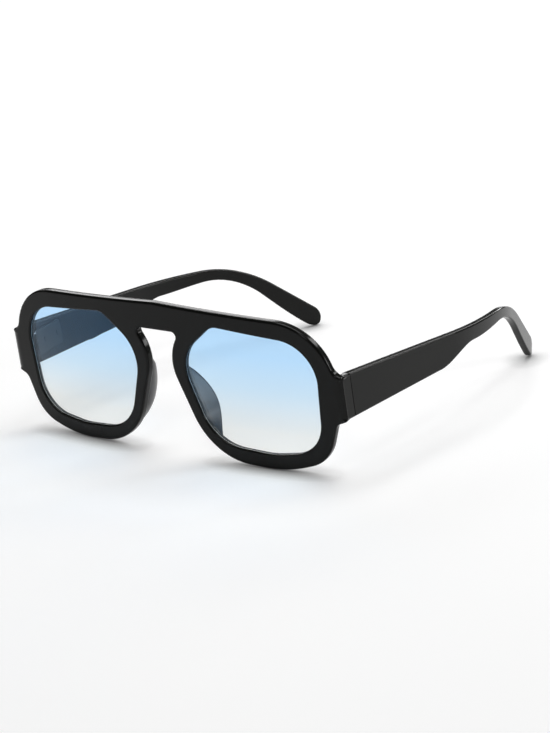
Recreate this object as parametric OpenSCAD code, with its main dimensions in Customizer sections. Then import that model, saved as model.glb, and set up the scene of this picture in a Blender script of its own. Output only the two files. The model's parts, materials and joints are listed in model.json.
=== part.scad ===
// Square sunglasses with a straight brow, keyhole bridge and wide temples.
// Local frame: X to the wearer's left, Y towards the ears, Z up along the front.
// The whole assembly is then tipped so that both rims and both tips stand on Z = 0.

/* [Lens shape] */
// Width of one lens opening between its sharp corners, before they are rounded
lens_w = 55.4; // [53:0.1:57]
// Height of one lens opening between its sharp corners
lens_h = 44.2; // [42:0.1:46]
// Gap between the two openings' nasal corners
bridge_w = 17.1; // [15.5:0.1:18.5]
// Radius of the upper outer lens corner
lens_r_outer = 14.4; // [11:0.2:16]
// Radius of the lower outer lens corner
lens_r_lower = 13; // [9:0.5:14]
// Width of the slanted cut at the upper nasal corner
nasal_cut_w = 15.3; // [13.5:0.1:16.5]
// Height of the slanted cut at the upper nasal corner
nasal_cut_h = 12.5; // [11.5:0.1:13.5]
// How far the nasal side leans in from its corner to the bottom
nasal_lean = 9.8; // [9:0.1:10.6]
// How far the outer side leans in from the top to the bottom
side_lean = 2.4; // [1.5:0.1:3]
// Fall of the opening's top edge from the nose to the side
top_fall = 3.7; // [3:0.1:4.4]
// Distance of the lowest place of the opening from its nasal corner
low_at = 33; // [31:0.5:35]

/* [Front] */
// Width of the side rim, from the lens opening to the outer side of the end piece
side_w = 8.5; // [8.2:0.1:9.2]
// Thickness of the moulded front
front_th = 3.3; // [3.1:0.1:3.8]
// Radius of the wrap of the front, seen from above
wrap_r = 450; // [400:10:600]
// Height of the brow bar over the lens
brow_h = 6.1; // [5.4:0.1:6.8]
// Fall of the brow's top edge from the bridge to its outer corner
brow_fall = 2.9; // [2.4:0.1:3.4]
// Radius of the brow's outer corner
brow_r = 21.5; // [19:0.5:23]
// Height of the lower rim under the lens
rim_low = 5.6; // [4.8:0.1:6.4]
// Radius of the rim's lower outer corner
rim_r = 13.4; // [11:0.2:15]
// Radius of the rim's lower nasal corner
rim_r_nose = 24; // [20:1:26]
// Rounding of the front edges
edge_r = 0.8; // [0.5:0.05:0.9]
// Rounding of the outer edges at the back
back_r = 1; // [0.7:0.05:1.1]
// Rounding of the lens opening's edges
lip_r = 0.4; // [0.3:0.05:0.5]
// Half width of the top of the nose notch
notch_half = 9.6; // [9.1:0.1:10]
// Half width of the neck of the nose notch, at the crossing of its two sides
neck_half = 3.6; // [3.2:0.1:4]
// Distance of the neck below the notch's top
neck_drop = 9.7; // [9:0.1:10.5]
// Height of the brow's top over the notch's top
bridge_h = 9.9; // [9.2:0.1:10.6]
// Distance of the end piece's top below the notch's top
lug_top = 10.5; // [10:0.1:11]
// Depth of the end piece behind the front's outer corner
lug_depth = 5.2; // [4.8:0.1:6]
// Depth of the rounding at the end piece's outer front edge
lug_r = 1.4; // [1:0.1:1.5]
// Width of the rounding at the end piece's outer front edge
lug_round = 2.4; // [1.6:0.1:2.8]
// Radius of the inner corner over the end piece
lug_fillet = 4.4; // [3:0.1:4.6]

/* [Lens] */
// Thickness of a lens
lens_th = 1.8; // [1.6:0.1:2]
// Depth of the groove that holds the lens
groove_d = 0.7; // [0.6:0.05:0.9]
// Forward crown of a lens at its middle
lens_crown = 0.9; // [0.4:0.1:1.0]
// Clearance between a lens's edge and its groove
lens_gap = 0.1; // [0.06:0.01:0.15]

/* [Nose pads] */
// How far a nose pad stands out behind the rim
pad_h = 7.2; // [6.4:0.1:7.5]
// How far a nose pad's crown leans towards the lens, for each millimetre of its height
pad_lean = 0.23; // [0.15:0.01:0.26]
// Width of a nose pad on the rim
pad_w = 3.4; // [3:0.1:3.7]
// Length of a nose pad along the rim
pad_len = 30.5; // [28:0.5:32]
// Distance of a nose pad's upper end below the neck of the notch
pad_below = 3; // [1.5:0.5:4]
// Gap for the cement under a nose pad
pad_gap = 0.03; // [0.02:0.01:0.1]

/* [Temples] */
// Length of a temple seen from above, from the seam to the start of the tip's rounding
temple_len = 135; // [131:0.5:139]
// Height of a temple at the seam
temple_h = 15.3; // [14.6:0.1:15.8]
// Height of a temple before its step
temple_h_mid = 11.2; // [10:0.1:12]
// Distance from the seam to the start of the step
step_at = 50; // [46:0.5:54]
// Length of the step
step_len = 21; // [18:0.5:25]
// Height of a temple after its step
temple_h_slim = 5.4; // [4.7:0.1:5.8]
// Height of a temple at its ear bend
temple_h_bend = 3.8; // [3.6:0.1:4.4]
// Height of the paddle tip
tip_h = 7; // [6.2:0.1:7.6]
// Length of the tip's rounded end
tip_round = 5.5; // [4.5:0.1:6]
// Thickness of a temple at the seam
temple_th = 3; // [2.8:0.1:3.3]
// Thickness of a temple's tip
tip_th = 2.5; // [2.2:0.1:2.8]
// Rounding of a temple's edges
temple_r = 0.6; // [0.4:0.05:0.8]
// Distance of a temple's outer face inside the end piece's outer corner
temple_inset = 0.7; // [0.4:0.1:0.9]
// Angle at which a temple slopes down from the front's normal
drop = 8.3; // [7:0.1:9.5]
// Slope of the tip below the front's normal
tip_drop = 41.5; // [38:0.5:44]
// Distance from the seam to the start of the ear bend
bend_at = 90; // [86:0.5:94]
// Radius of the ear bend along the top edge
bend_r = 56; // [48:1:62]
// Angle at which a temple leans inwards, seen from above
splay = 0; // [-0.5:0.1:1.5]
// Angle at which a tip leans inwards, seen from above
tip_splay = 24; // [21:0.5:26]
// Distance from the seam to the start of the inward curve
curve_at = 57.5; // [54:0.5:64]
// Radius of the inward curve
curve_r = 117; // [100:1:130]
// Gap at the seam between the end piece and an open temple
seam_gap = 0.06; // [0.04:0.01:0.12]

/* [Hinge] */
// Outer radius of a hinge knuckle
knuckle_r = 1.35; // [1.2:0.05:1.4]
// Height of one knuckle
knuckle_h = 1.7; // [1.5:0.05:1.8]
// Gap between two knuckles
knuckle_gap = 0.08; // [0.05:0.01:0.15]
// Radius of the pivot screw's shank
pivot_r = 0.7; // [0.6:0.05:0.75]
// Radial clearance of the pivot screw in the knuckles
pivot_gap = 0.03; // [0.02:0.005:0.05]
// Thickness of a hinge leaf
leaf_th = 0.9; // [0.8:0.05:1]
// Length of the temple leaf
leaf_len = 12.5; // [11:0.5:14]
// Radius of a leaf screw's shank
leaf_screw_r = 0.6; // [0.5:0.05:0.65]
// Length of a leaf screw under its head
leaf_screw_len = 2.2; // [1.8:0.1:2.4]
// Clearance round the leaves and their screws
fit_gap = 0.02; // [0.01:0.005:0.04]

/* [Hidden] */
$fn = 36;
ARC = 8; // facets in one rounded corner of an outline, an even number
BLACK = [0.09, 0.09, 0.09];
SATIN = [0.2, 0.2, 0.21];
TINT = [0.55, 0.75, 0.95, 0.5];
LEAF = [0.16, 0.16, 0.16];
STEEL = [0.8, 0.8, 0.82];

// Small helpers
function unit(v) = v / norm(v);
function flat(l) = [for (a = l) for (b = a) b];
function smooth(t) = let (c = max(0, min(1, t))) c * c * (3 - 2 * c);
function mix(a, b, t) = a + (b - a) * t;
function left(d) = [-d[1], d[0]];

// A rounded corner at b between the sides towards a and c
function corner(a, b, c, r) = r == 0 ? [for (i = [0:ARC]) b] :
  let (u = unit(a - b), w = unit(c - b), half = acos(u * w) / 2,
    o = b + unit(u + w) * r / sin(half), s = b + u * r / tan(half), e = b + w * r / tan(half),
    a0 = atan2(s[1] - o[1], s[0] - o[0]), a1 = atan2(e[1] - o[1], e[0] - o[0]),
    d = (a1 - a0 + 540) % 360 - 180)
  [for (i = [0:ARC]) o + r * [cos(a0 + d * i / ARC), sin(a0 + d * i / ARC)]];

// A closed outline of rounded corners that starts and ends in the middle of its first corner
function outline(v) = let (n = len(v),
    c = [for (i = [0:n - 1]) corner(pt(v[(i + n - 1) % n]), pt(v[i]), pt(v[(i + 1) % n]), v[i][2])])
  concat([for (k = [ARC / 2:ARC]) c[0][k]], flat([for (i = [1:n - 1]) c[i]]),
    [for (k = [0:ARC / 2]) c[0][k]]);
function pt(v) = [v[0], v[1]];
function run_len(p) = [for (i = 0, s = 0; i < len(p); s = s + (i + 1 < len(p) ? norm(p[i + 1] - p[i]) : 0),
    i = i + 1) s];
// Distance along an outline of n corners to corner k, which may lie between two corners
function key_at(s, k, n) = let (f = floor(k), g = k - f)
  g == 0 ? (f == 0 ? 0 : f == n ? s[len(s) - 1] : s[ARC / 2 + 1 + (f - 1) * (ARC + 1) + ARC / 2]) :
  mix(key_at(s, f, n), key_at(s, f + 1, n), g);
function along(p, s, d) = [lookup(d, [for (i = [0:len(p) - 1]) [s[i], p[i][0]]]),
  lookup(d, [for (i = [0:len(p) - 1]) [s[i], p[i][1]]])];

// Corners of one lens opening, clockwise from the top of the slanted cut: u, v, radius
xn = bridge_w / 2;
xo = xn + lens_w;
yt = bridge_h - brow_h;
yb = yt - lens_h;
cut_r = 6.8;
low_r = 34;
nasal_low_r = 17;
nasal_r = 13.9;
outer_rise = 2.5;
nasal_rise = 1.7;
LENS = [[xn + nasal_cut_w, yt, cut_r], [xo, yt - top_fall, lens_r_outer],
  [xo - side_lean, yb + outer_rise, lens_r_lower], [xn + low_at, yb, low_r],
  [xn + nasal_lean, yb + nasal_rise, nasal_low_r], [xn, yt - nasal_cut_h, nasal_r]];
// Corners of the wearer's left half of the front, clockwise from the top of the bridge
hw = xo + side_w;
lug_bot = lug_top + temple_h;
shoulder_x = xo - 0.5;
lug_w = [3.2, 4.2]; // how far the end piece stands out over and under
lug_rise = [1.2, 1.5]; // how far its upper and lower edges slope away
lug_corner_r = 1.5;
lug_low_r = 3;
rim_base = yb - rim_low;
rim_outer_rise = 5;
rim_flat = 5; // how far the rim's lowest place lies outside the opening's
rim_flat_r = 50;
rim_nose = [8.1, 1.9]; // place of the rim's lower nasal corner from the opening's side and the base
neck_r = 15.6;
notch_r = 1.6;
FRONT = [[0, bridge_h, 0], [shoulder_x, bridge_h - brow_fall, brow_r],
  [hw - lug_w[0], lug_rise[0] - lug_top, lug_fillet], [hw, -lug_top, lug_corner_r],
  [hw, -lug_bot, lug_corner_r], [hw - lug_w[1], -lug_bot - lug_rise[1], lug_low_r],
  [shoulder_x, rim_base + rim_outer_rise, rim_r], [xn + low_at + rim_flat, rim_base, rim_flat_r],
  [xn + rim_nose[0], rim_base + rim_nose[1], rim_r_nose], [neck_half, -neck_drop, neck_r],
  [notch_half, 0, notch_r], [0, 0, 0]];
// Matched corners of the two outlines, and the steps to the next pair
MATCH = [[0, 0, 14], [1, 1, 8], [2, 1.3, 2], [3, 1.38, 5], [4, 1.62, 2], [5, 1.68, 7],
  [6, 2, 8], [7, 3, 8], [8, 4, 10], [9, 5, 5], [10, 5.4, 3], [11, 5.62, 3], [12, 6, 0]];
NS = len(MATCH) - 1;
NF = len(FRONT);
NL = len(LENS);
FP = outline(FRONT);
FL = run_len(FP);
LP = outline(LENS);
LL = run_len(LP);
OUT = flat([for (j = [0:NS - 1]) let (a = key_at(FL, MATCH[j][0], NF), b = key_at(FL, MATCH[j + 1][0], NF))
  [for (i = [0:MATCH[j][2] - 1]) along(FP, FL, mix(a, b, i / MATCH[j][2]))]]);
WIN = flat([for (j = [0:NS - 1]) let (a = key_at(LL, MATCH[j][1], NL), b = key_at(LL, MATCH[j + 1][1], NL))
  [for (i = [0:MATCH[j][2] - 1]) along(LP, LL, mix(a, b, i / MATCH[j][2]))]]);
N = len(OUT);
SYM = N - MATCH[NS - 1][2]; // first station on the bridge's middle plane
function on_sym(i) = i == 0 || i >= SYM;
function normal(p, i) = unit(left(p[(i + 1) % len(p)] - p[(i + len(p) - 1) % len(p)]));
function out_normal(i) = i == 0 ? [0, 1] : i == SYM ? [0, -1] : on_sym(i) ? [0, 0] : normal(OUT, i);

// The front is bent round a vertical cylinder: u and v lie on its front face, w is depth behind it
function bend(u, v, w) = let (a = u / wrap_r * 180 / PI)
  [(wrap_r - w) * sin(a), wrap_r - (wrap_r - w) * cos(a), v];

// Section of the rim: distance from the lens opening or from the outer edge, and depth
er = edge_r;
groove_mid = front_th / 2;
groove_half = 0.65;
INNER = [[lip_r, 0], [lip_r * 0.3, lip_r * 0.3], [0, lip_r], [0, groove_mid - groove_half],
  [groove_d, groove_mid], [0, groove_mid + groove_half], [0, front_th - lip_r], [lip_r, front_th]];
OUTER = [[back_r, front_th], [back_r * 0.3, front_th - back_r * 0.3], [0, front_th - back_r],
  [0, er], [er * 0.3, er * 0.3], [er, 0]];
NI = len(INNER);
NO = len(OUTER);
NP = NI + NO;
// The front edge is rounder along the outer side of the end piece
function outer_pt(i, j) = let (s = OUT[i][0] > hw - 0.01 && j > 2 ? [lug_round, lug_r] / er : [1, 1])
  [OUTER[j][0] * s[0], OUTER[j][1] * s[1]];
function rim_pt(i, j) = j < NI ?
  let (p = WIN[i] + normal(WIN, i) * INNER[j][0]) bend(p[0], p[1], INNER[j][1]) :
  let (q = outer_pt(i, j - NI), p = OUT[i] - out_normal(i) * q[0]) bend(on_sym(i) ? 0 : p[0], p[1], q[1]);
RIM = [for (i = [0:N - 1]) for (j = [0:NP - 1]) rim_pt(i, j)];
function rim_id(h, i, j) = h == 1 && !(on_sym(i) && j >= NI) ? N * NP + i * NP + j : i * NP + j;
function rim_faces(h) = [for (i = [0:N - 1]) for (j = [0:NP - 1])
  if (!(i >= SYM && j >= NI && j < NP - 1)) for (k = [0, 1])
  let (a = rim_id(h, i, j), b = rim_id(h, (i + 1) % N, j), c = rim_id(h, (i + 1) % N, (j + 1) % NP),
    d = rim_id(h, i, (j + 1) % NP), t = k == 0 ? [a, b, c] : [a, c, d]) h == 0 ? t : [t[2], t[1], t[0]]];

// Temples: the plan curve, seen from above
temple_x = hw - temple_inset - temple_th / 2;
seam_y = bend(hw, 0, 0)[1] + lug_depth;
arc_len = curve_r * (tip_splay - splay) * PI / 180;
function heading(s) = s < curve_at ? splay : min(tip_splay, splay + (s - curve_at) / curve_r * 180 / PI);
function plan(s) = let (a = min(s, curve_at), h = heading(s), c = max(0, s - curve_at - arc_len),
    q = curve_r * [cos(h) - cos(splay), sin(h) - sin(splay)])
  [temple_x, seam_y + seam_gap] + a * [-sin(splay), cos(splay)] + q + c * [-sin(tip_splay), cos(tip_splay)];
// The top edge, seen from the side, by distance along it: run, fall, slope
bend_arc = bend_r * (tip_drop - drop) * PI / 180;
bend_s = bend_at / cos(drop);
function slope(d) = d < bend_s ? drop : min(tip_drop, drop + (d - bend_s) / bend_r * 180 / PI);
function edge(d) = let (a = min(d, bend_s), g = slope(d), c = max(0, d - bend_s - bend_arc))
  a * [cos(drop), -sin(drop)] + bend_r * [sin(g) - sin(drop), cos(g) - cos(drop)]
  + c * [cos(tip_drop), -sin(tip_drop)];
edge_len = bend_s + bend_arc + (temple_len - bend_s * cos(drop) - bend_r * (sin(tip_drop) - sin(drop)))
  / cos(tip_drop);
step_end = step_at + step_len;
slim_end = bend_s + 8; // where a temple is slimmest
function height(d) = d < step_at ? mix(temple_h, temple_h_mid, d / step_at) :
  d < step_end ? mix(temple_h_mid, temple_h_slim, smooth((d - step_at) / step_len)) :
  d < slim_end ? mix(temple_h_slim, temple_h_bend, smooth((d - step_end) / (slim_end - step_end))) :
  mix(temple_h_bend, tip_h, smooth((d - slim_end) / (edge_len - slim_end)));
thin_at = 10; // distance from the seam at which a temple starts to get thinner
function thick(d) = mix(temple_th, tip_th, smooth((d - thin_at) / (edge_len - thin_at)));
// Stations along a temple, close together where it bends and rounds off
ROUND = [0.45, 0.75, 0.92, 1];
DIST = concat([0, 3], [for (i = [1:9]) mix(3, step_at, i / 9)],
  [for (i = [1:9]) mix(step_at, step_end, i / 9)],
  [for (i = [1:3]) mix(step_end, bend_s - 4, i / 3)], [for (i = [0:8]) bend_s + i * bend_arc / 8],
  [for (i = [1:5]) mix(bend_s + bend_arc, edge_len, i / 5)]);
ND = len(DIST);
function section(h, t, r0 = temple_r) = let (r = min(r0, h * 0.45, t * 0.45))
  [for (q = [[r, t / 2 - r, 180], [h - r, t / 2 - r, 90], [h - r, r - t / 2, 0], [r, r - t / 2, -90]])
    for (k = [0:2]) let (g = q[2] - 45 * k) [q[0] + r * cos(g), q[1] + r * sin(g)]];
function lie(run, z, b) = let (p = plan(run), h = heading(run)) [p[0] + b * cos(h), p[1] + b * sin(h), z];
top_z = -lug_top;
// The outer face stays flat: a temple gets thinner on its inner side
function temple_ring(d, cut, in_h, th) = let (e = edge(d), g = slope(d), c = (temple_th - thick(d)) / 2)
  [for (q = section(height(d) - in_h[0] - in_h[1], th)) cut ? lie(-q[1] * tan(splay), top_z - q[0], q[1]) :
    lie(e[0] - (q[0] + in_h[0]) * sin(g), top_z + e[1] - (q[0] + in_h[0]) * cos(g), q[1] + c)];
TEMPLE = concat(flat([for (i = [0:ND - 1]) temple_ring(DIST[i], i == 0, [0, 0], thick(DIST[i]))]),
  flat([for (f = ROUND) let (g = 1 - sqrt(1 - 0.95 * f * f)) temple_ring(edge_len + tip_round * f, false,
    [tip_h * 0.62 * g, tip_h * 0.38 * g], tip_th * (1 - 0.6 * g))]));
TR = len(TEMPLE) / 12;

// Standing pose: the lowest points of the rims and of the tips come down to one plane
function lowest(l, a) = min([for (p = l) p[1] * sin(a) + p[2] * cos(a)]);
function low_pt(l, a) = let (m = lowest(l, a) + 0.0001)
  [for (p = l) if (p[1] * sin(a) + p[2] * cos(a) < m) p][0];
function settle(a, n) = n == 0 ? a : let (p = low_pt(RIM, a), q = low_pt(TEMPLE, a))
  settle(atan2(p[2] - q[2], q[1] - p[1]), n - 1);
tilt = settle(4, 4);
function stood(p) = [p[0], p[1] * cos(tilt) - p[2] * sin(tilt), p[1] * sin(tilt) + p[2] * cos(tilt)];
ALL_Y = [for (p = concat(RIM, TEMPLE)) stood(p)[1]];
mid_y = (min(ALL_Y) + max(ALL_Y)) / 2;
base_z = lowest(RIM, tilt);
module stand() translate([0, -mid_y, -base_z]) rotate([tilt, 0, 0]) children();

// Closed skin over rings of n points each
function ring_faces(rings, n) = concat([[for (j = [0:n - 1]) j]],
  [for (i = [0:rings - 2]) for (j = [0:n - 1]) for (k = [0, 1])
    let (a = i * n + j, b = i * n + (j + 1) % n, c = b + n, d = a + n) k == 0 ? [c, b, a] : [d, c, a]],
  [[for (j = [n - 1:-1:0]) (rings - 1) * n + j]]);

// Hinge places
zc = top_z - temple_h / 2;
temple_in = hw - temple_inset - temple_th;
pivot_in = 1.5; // distance of the pivot from the temple's inner face
pivot_back = 0.5; // distance of the pivot behind the seam
axis_x = temple_in - pivot_in;
axis_y = seam_y + pivot_back;
stack = 5 * knuckle_h + 4 * knuckle_gap;
function knuckle_z(k) = zc - stack / 2 + k * (knuckle_h + knuckle_gap);
pocket_d = 0.35; // depth of the front leaf's seat
pocket_y = bend(xo, 0, front_th)[1] - pocket_d;
leaf_x0 = xo + 0.75;
leaf_x1 = temple_in - 0.1;
leaf_end = 2.6; // how far the front leaf reaches past its knuckles
leaf_half = stack / 2 + leaf_end;
front_screw_x = (leaf_x0 + leaf_x1) / 2;
front_screw_z = leaf_half - leaf_end / 2;
tleaf_x = axis_x + 0.6;
tleaf_y = axis_y + 1.85;
temple_screw_y = [4, leaf_len - 2.2];
head_r = leaf_screw_r + 0.4;
pivot_head_h = 0.7;

module screw_shape(len, extra) rotate_extrude()
  polygon([[0, -len], [leaf_screw_r + extra, -len], [leaf_screw_r + extra, -0.4],
    [head_r + extra, 0], [0, 0]]);
module leaf_screw() difference() {
  screw_shape(leaf_screw_len, 0);
  translate([-head_r - 0.1, -0.13, -0.18]) cube([2 * head_r + 0.2, 0.26, 0.4]);
}
// The two screws of a leaf, or the holes for them
module front_screw_places() for (s = [-1, 1])
  translate([front_screw_x, pocket_y + leaf_th, zc + s * front_screw_z]) rotate([-90, 0, 0]) children();
module temple_screw_places() for (y = temple_screw_y) translate([tleaf_x, tleaf_y + y, zc])
  rotate([0, -90, 0]) children();

module side(s) if (s > 0) children(); else mirror([1, 0, 0]) children();

// The end piece carries the front's side on, to the temple's outer face at the seam
module end_piece() {
  in_x = temple_x - temple_th / 2;
  flush = bend(hw, 0, lug_r) - [0.01, 0, 0];
  function ring(y, out, r) = [for (q = section(temple_h, out - in_x, r))
    [(in_x + out) / 2 + q[1], y, top_z - q[0]]];
  polyhedron(concat(ring(flush[1], flush[0], lug_r), ring(seam_y, in_x + temple_th, temple_r)),
    ring_faces(2, 12), 4);
}
module front_pockets() {
  translate([leaf_x0 - fit_gap, pocket_y, zc - leaf_half - fit_gap])
    cube([leaf_x1 - leaf_x0 + 2 * fit_gap, 3, 2 * (leaf_half + fit_gap)]);
  front_screw_places() screw_shape(leaf_screw_len + fit_gap, fit_gap);
}
module front_frame() color(BLACK) stand() difference() {
  union() {
    polyhedron(concat(RIM, [for (p = RIM) [-p[0], p[1], p[2]]]), concat(rim_faces(0), rim_faces(1)), 4);
    for (s = [-1, 1]) side(s) end_piece();
  }
  for (s = [-1, 1]) side(s) front_pockets();
}

// A lens: rings from the middle of its front, over the bevelled edge, to the middle of its back
lens_c = [xn + lens_w / 2, yt - lens_h / 2];
LRING = [0.4, 0.72, 0.9];
lens_f = groove_mid - lens_th / 2;
rim_gap = 0.12; // clearance between a lens's faces and the opening's wall
tongue = 1; // thickness of the lens where it enters the groove
function lens_pt(i, k) = let (n = normal(WIN, i), m = len(LRING),
    s = k < m ? LRING[k] : k > m + 4 ? LRING[2 * m + 4 - k] : 1, f = k <= m, in_groove = k > m && k < m + 4,
    d = k == m + 2 ? groove_d - lens_gap : -rim_gap, p = mix(lens_c, WIN[i] + d * n, s))
  bend(p[0], p[1], in_groove ? groove_mid + (k - m - 2) * tongue / 2 :
    lens_f + (f ? 0 : lens_th) - lens_crown * (1 - s * s));
module lens() {
  k = 2 * len(LRING) + 5;
  pts = concat([for (r = [0:k - 1]) for (i = [0:N - 1]) lens_pt(i, r)],
    [for (w = [0, lens_th]) bend(lens_c[0], lens_c[1], lens_f + w - lens_crown)]);
  caps = flat([for (i = [0:N - 1]) let (b = (i + 1) % N, e = (k - 1) * N)
    [[k * N, i, b], [k * N + 1, e + b, e + i]]]);
  skin = [for (f = ring_faces(k, N)) if (len(f) == 3) f];
  polyhedron(pts, concat(skin, caps), 4);
}
module lens_right() color(TINT) stand() side(-1) lens();
module lens_left() color(TINT) stand() side(1) lens();

// A nose pad: domed sections that follow the nasal edge of the rim, from its upper end down
PAD_N = 14;
pad_top = key_at(FL, 9, NF) - pad_below;
function pad_ring(i) = let (t = i / PAD_N, s = pad_top - pad_len * t, p = along(FP, FL, s),
    n = unit(left(along(FP, FL, s + 0.5) - along(FP, FL, s - 0.5))),
    g = max(0.02, sin(180 * pow(0.02 + 0.96 * t, 1.05))),
    h = 0.35 + pad_h * pow(g, mix(0.7, 1.1, t)),
    w = pad_w / 2 * (0.35 + 0.65 * pow(g, 0.5)), c = p - n * (pad_w / 2 + 0.4))
  [for (a = [0:20:180]) let (lat = w * cos(a) - pad_lean * h * sin(a) * sin(a), q = c + n * lat)
    bend(q[0], q[1], front_th + pad_gap + h * sin(a))];
module pad() polyhedron(flat([for (i = [0:PAD_N]) pad_ring(i)]), ring_faces(PAD_N + 1, 10), 4);
module nose_pad_right() color(SATIN) stand() side(-1) pad();
module nose_pad_left() color(SATIN) stand() side(1) pad();

module knuckles(list) for (k = list) translate([axis_x, axis_y, knuckle_z(k)])
  cylinder(r = knuckle_r, h = knuckle_h);
module pivot_bore() translate([axis_x, axis_y, zc - stack]) cylinder(r = pivot_r + pivot_gap, h = 2 * stack);
module front_leaf() difference() {
  union() {
    translate([leaf_x0, pocket_y + fit_gap, zc - leaf_half])
      cube([leaf_x1 - leaf_x0, leaf_th - fit_gap, 2 * leaf_half]);
    for (k = [0, 2, 4]) translate([axis_x - knuckle_r, pocket_y + 0.5, knuckle_z(k)])
      cube([1.1, axis_y - pocket_y - 0.5, knuckle_h]);
    knuckles([0, 2, 4]);
  }
  pivot_bore();
  front_screw_places() screw_shape(leaf_screw_len + 1, fit_gap);
}
module temple_leaf() difference() {
  union() {
    translate([tleaf_x, tleaf_y, zc - stack / 2]) cube([leaf_th, leaf_len, stack]);
    for (k = [1, 3]) translate([axis_x + 0.25, axis_y, knuckle_z(k)])
      cube([knuckle_r - 0.25, tleaf_y - axis_y + 0.5, knuckle_h]);
    knuckles([1, 3]);
  }
  pivot_bore();
  temple_screw_places() screw_shape(leaf_screw_len + 1, fit_gap);
}
module pivot_screw() translate([axis_x, axis_y, zc + stack / 2]) difference() {
  union() {
    translate([0, 0, fit_gap]) cylinder(r = pivot_r + 0.45, h = pivot_head_h);
    translate([0, 0, -stack]) cylinder(r = pivot_r, h = stack + 0.3);
  }
  translate([-2, -0.15, pivot_head_h - 0.25]) cube([4, 0.3, 1]);
}
module front_hinge_leaf_right() color(LEAF) stand() side(-1) front_leaf();
module front_hinge_leaf_left() color(LEAF) stand() side(1) front_leaf();
module front_leaf_screws_right() color(LEAF) stand() side(-1) front_screw_places() leaf_screw();
module front_leaf_screws_left() color(LEAF) stand() side(1) front_screw_places() leaf_screw();
module hinge_screw_right() color(STEEL) stand() side(-1) pivot_screw();
module hinge_screw_left() color(STEEL) stand() side(1) pivot_screw();

module temple() difference() {
  polyhedron(TEMPLE, ring_faces(TR, 12), 4);
  translate([tleaf_x - 2, tleaf_y - fit_gap, zc - stack / 2 - fit_gap])
    cube([2 + leaf_th + fit_gap, leaf_len + 2 * fit_gap, stack + 2 * fit_gap]);
  temple_screw_places() screw_shape(leaf_screw_len + fit_gap, fit_gap);
}
module temple_right() color(BLACK) stand() side(-1) temple();
module temple_left() color(BLACK) stand() side(1) temple();
module temple_hinge_leaf_right() color(LEAF) stand() side(-1) temple_leaf();
module temple_hinge_leaf_left() color(LEAF) stand() side(1) temple_leaf();
module temple_leaf_screws_right() color(LEAF) stand() side(-1) temple_screw_places() leaf_screw();
module temple_leaf_screws_left() color(LEAF) stand() side(1) temple_screw_places() leaf_screw();

echo(tilt = tilt, base_z = base_z, mid_y = mid_y,
  pivot = stood([axis_x, axis_y, zc]) - [0, mid_y, base_z], axis = [0, -sin(tilt), cos(tilt)],
  stations = N, rings = TR, seam_y = seam_y, depth = max(ALL_Y) - min(ALL_Y));

front_frame();
lens_right();
lens_left();
nose_pad_right();
nose_pad_left();
front_hinge_leaf_right();
front_hinge_leaf_left();
front_leaf_screws_right();
front_leaf_screws_left();
hinge_screw_right();
hinge_screw_left();
temple_right();
temple_hinge_leaf_right();
temple_leaf_screws_right();
temple_left();
temple_hinge_leaf_left();
temple_leaf_screws_left();
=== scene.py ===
"""Square sunglasses with a straight brow, a keyhole bridge and wide temples.

Lengths are in millimetres in the front's own frame, as a maker draws them: X to the wearer's
left, Y towards the ears, Z up along the front. ``Stand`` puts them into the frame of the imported
model, in metres, where both rims and both tips stand on the floor.
"""

import json
import logging
from dataclasses import dataclass, field
from enum import Enum
from math import acos, atan2, cos, degrees, hypot, pi, radians, sin, sqrt, tan
from typing import Sequence

import bmesh
import bpy
from mathutils import Matrix, Vector


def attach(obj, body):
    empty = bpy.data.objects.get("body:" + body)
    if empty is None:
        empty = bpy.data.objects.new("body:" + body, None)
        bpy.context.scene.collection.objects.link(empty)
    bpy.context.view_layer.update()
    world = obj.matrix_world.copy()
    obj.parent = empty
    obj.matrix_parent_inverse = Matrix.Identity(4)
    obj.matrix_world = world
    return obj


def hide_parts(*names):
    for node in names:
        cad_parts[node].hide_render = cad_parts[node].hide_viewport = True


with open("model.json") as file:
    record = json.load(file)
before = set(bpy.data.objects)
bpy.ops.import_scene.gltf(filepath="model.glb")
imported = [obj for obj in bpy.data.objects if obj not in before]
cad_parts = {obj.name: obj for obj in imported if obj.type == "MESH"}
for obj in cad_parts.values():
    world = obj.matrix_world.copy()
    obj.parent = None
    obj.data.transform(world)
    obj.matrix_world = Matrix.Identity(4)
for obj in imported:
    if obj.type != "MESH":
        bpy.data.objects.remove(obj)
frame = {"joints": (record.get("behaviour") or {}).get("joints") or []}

logging.basicConfig(level=logging.INFO, format="%(name)s: %(message)s")
LOG = logging.getLogger("sunglasses")

Point = tuple[float, float, float]
Flat = tuple[float, float]
Ring = list[Point]

# facets of a bevel and of a section's rounded corner, and that corner's largest share of a side
BEVEL_STEPS = 3
CORNER_STEPS = 5
CORNER_MOST = 0.45
# shares of the way across a wide face at which loops are drawn
SHARES = (0.25, 0.5, 0.75)
# in mm: how close points are merged, and how near to a plane they count as on it
MERGE = 1e-4
ON_PLANE = 1e-5
# in metres: edges shorter than this are dissolved
TINY_M = 1e-6


class Side(Enum):
    """The wearer's side that a piece sits on, as the sign of X."""

    LEFT = 1
    RIGHT = -1

    @property
    def word(self) -> str:
        """The side's name as it stands in node and piece names."""
        return self.name.lower()


class Lie(Enum):
    """The direction in which a round part rises, as its turns about X and Y."""

    UP = (0.0, 0.0)
    BACK = (-pi / 2, 0.0)
    INWARD = (0.0, -pi / 2)

    @property
    def turn(self) -> Point:
        """The turn as Blender's angles."""
        return (*self.value, 0.0)

    @property
    def way(self) -> Vector:
        """The direction itself."""
        about_x, about_y = self.value
        return Matrix.Rotation(about_x, 3, "X") @ Matrix.Rotation(about_y, 3, "Y") @ Vector((0, 0, 1))


# Plane outlines


def blend_to(a: float, b: float, t: float) -> float:
    """The value at share t of the way from a to b."""
    return a + (b - a) * t


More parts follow.
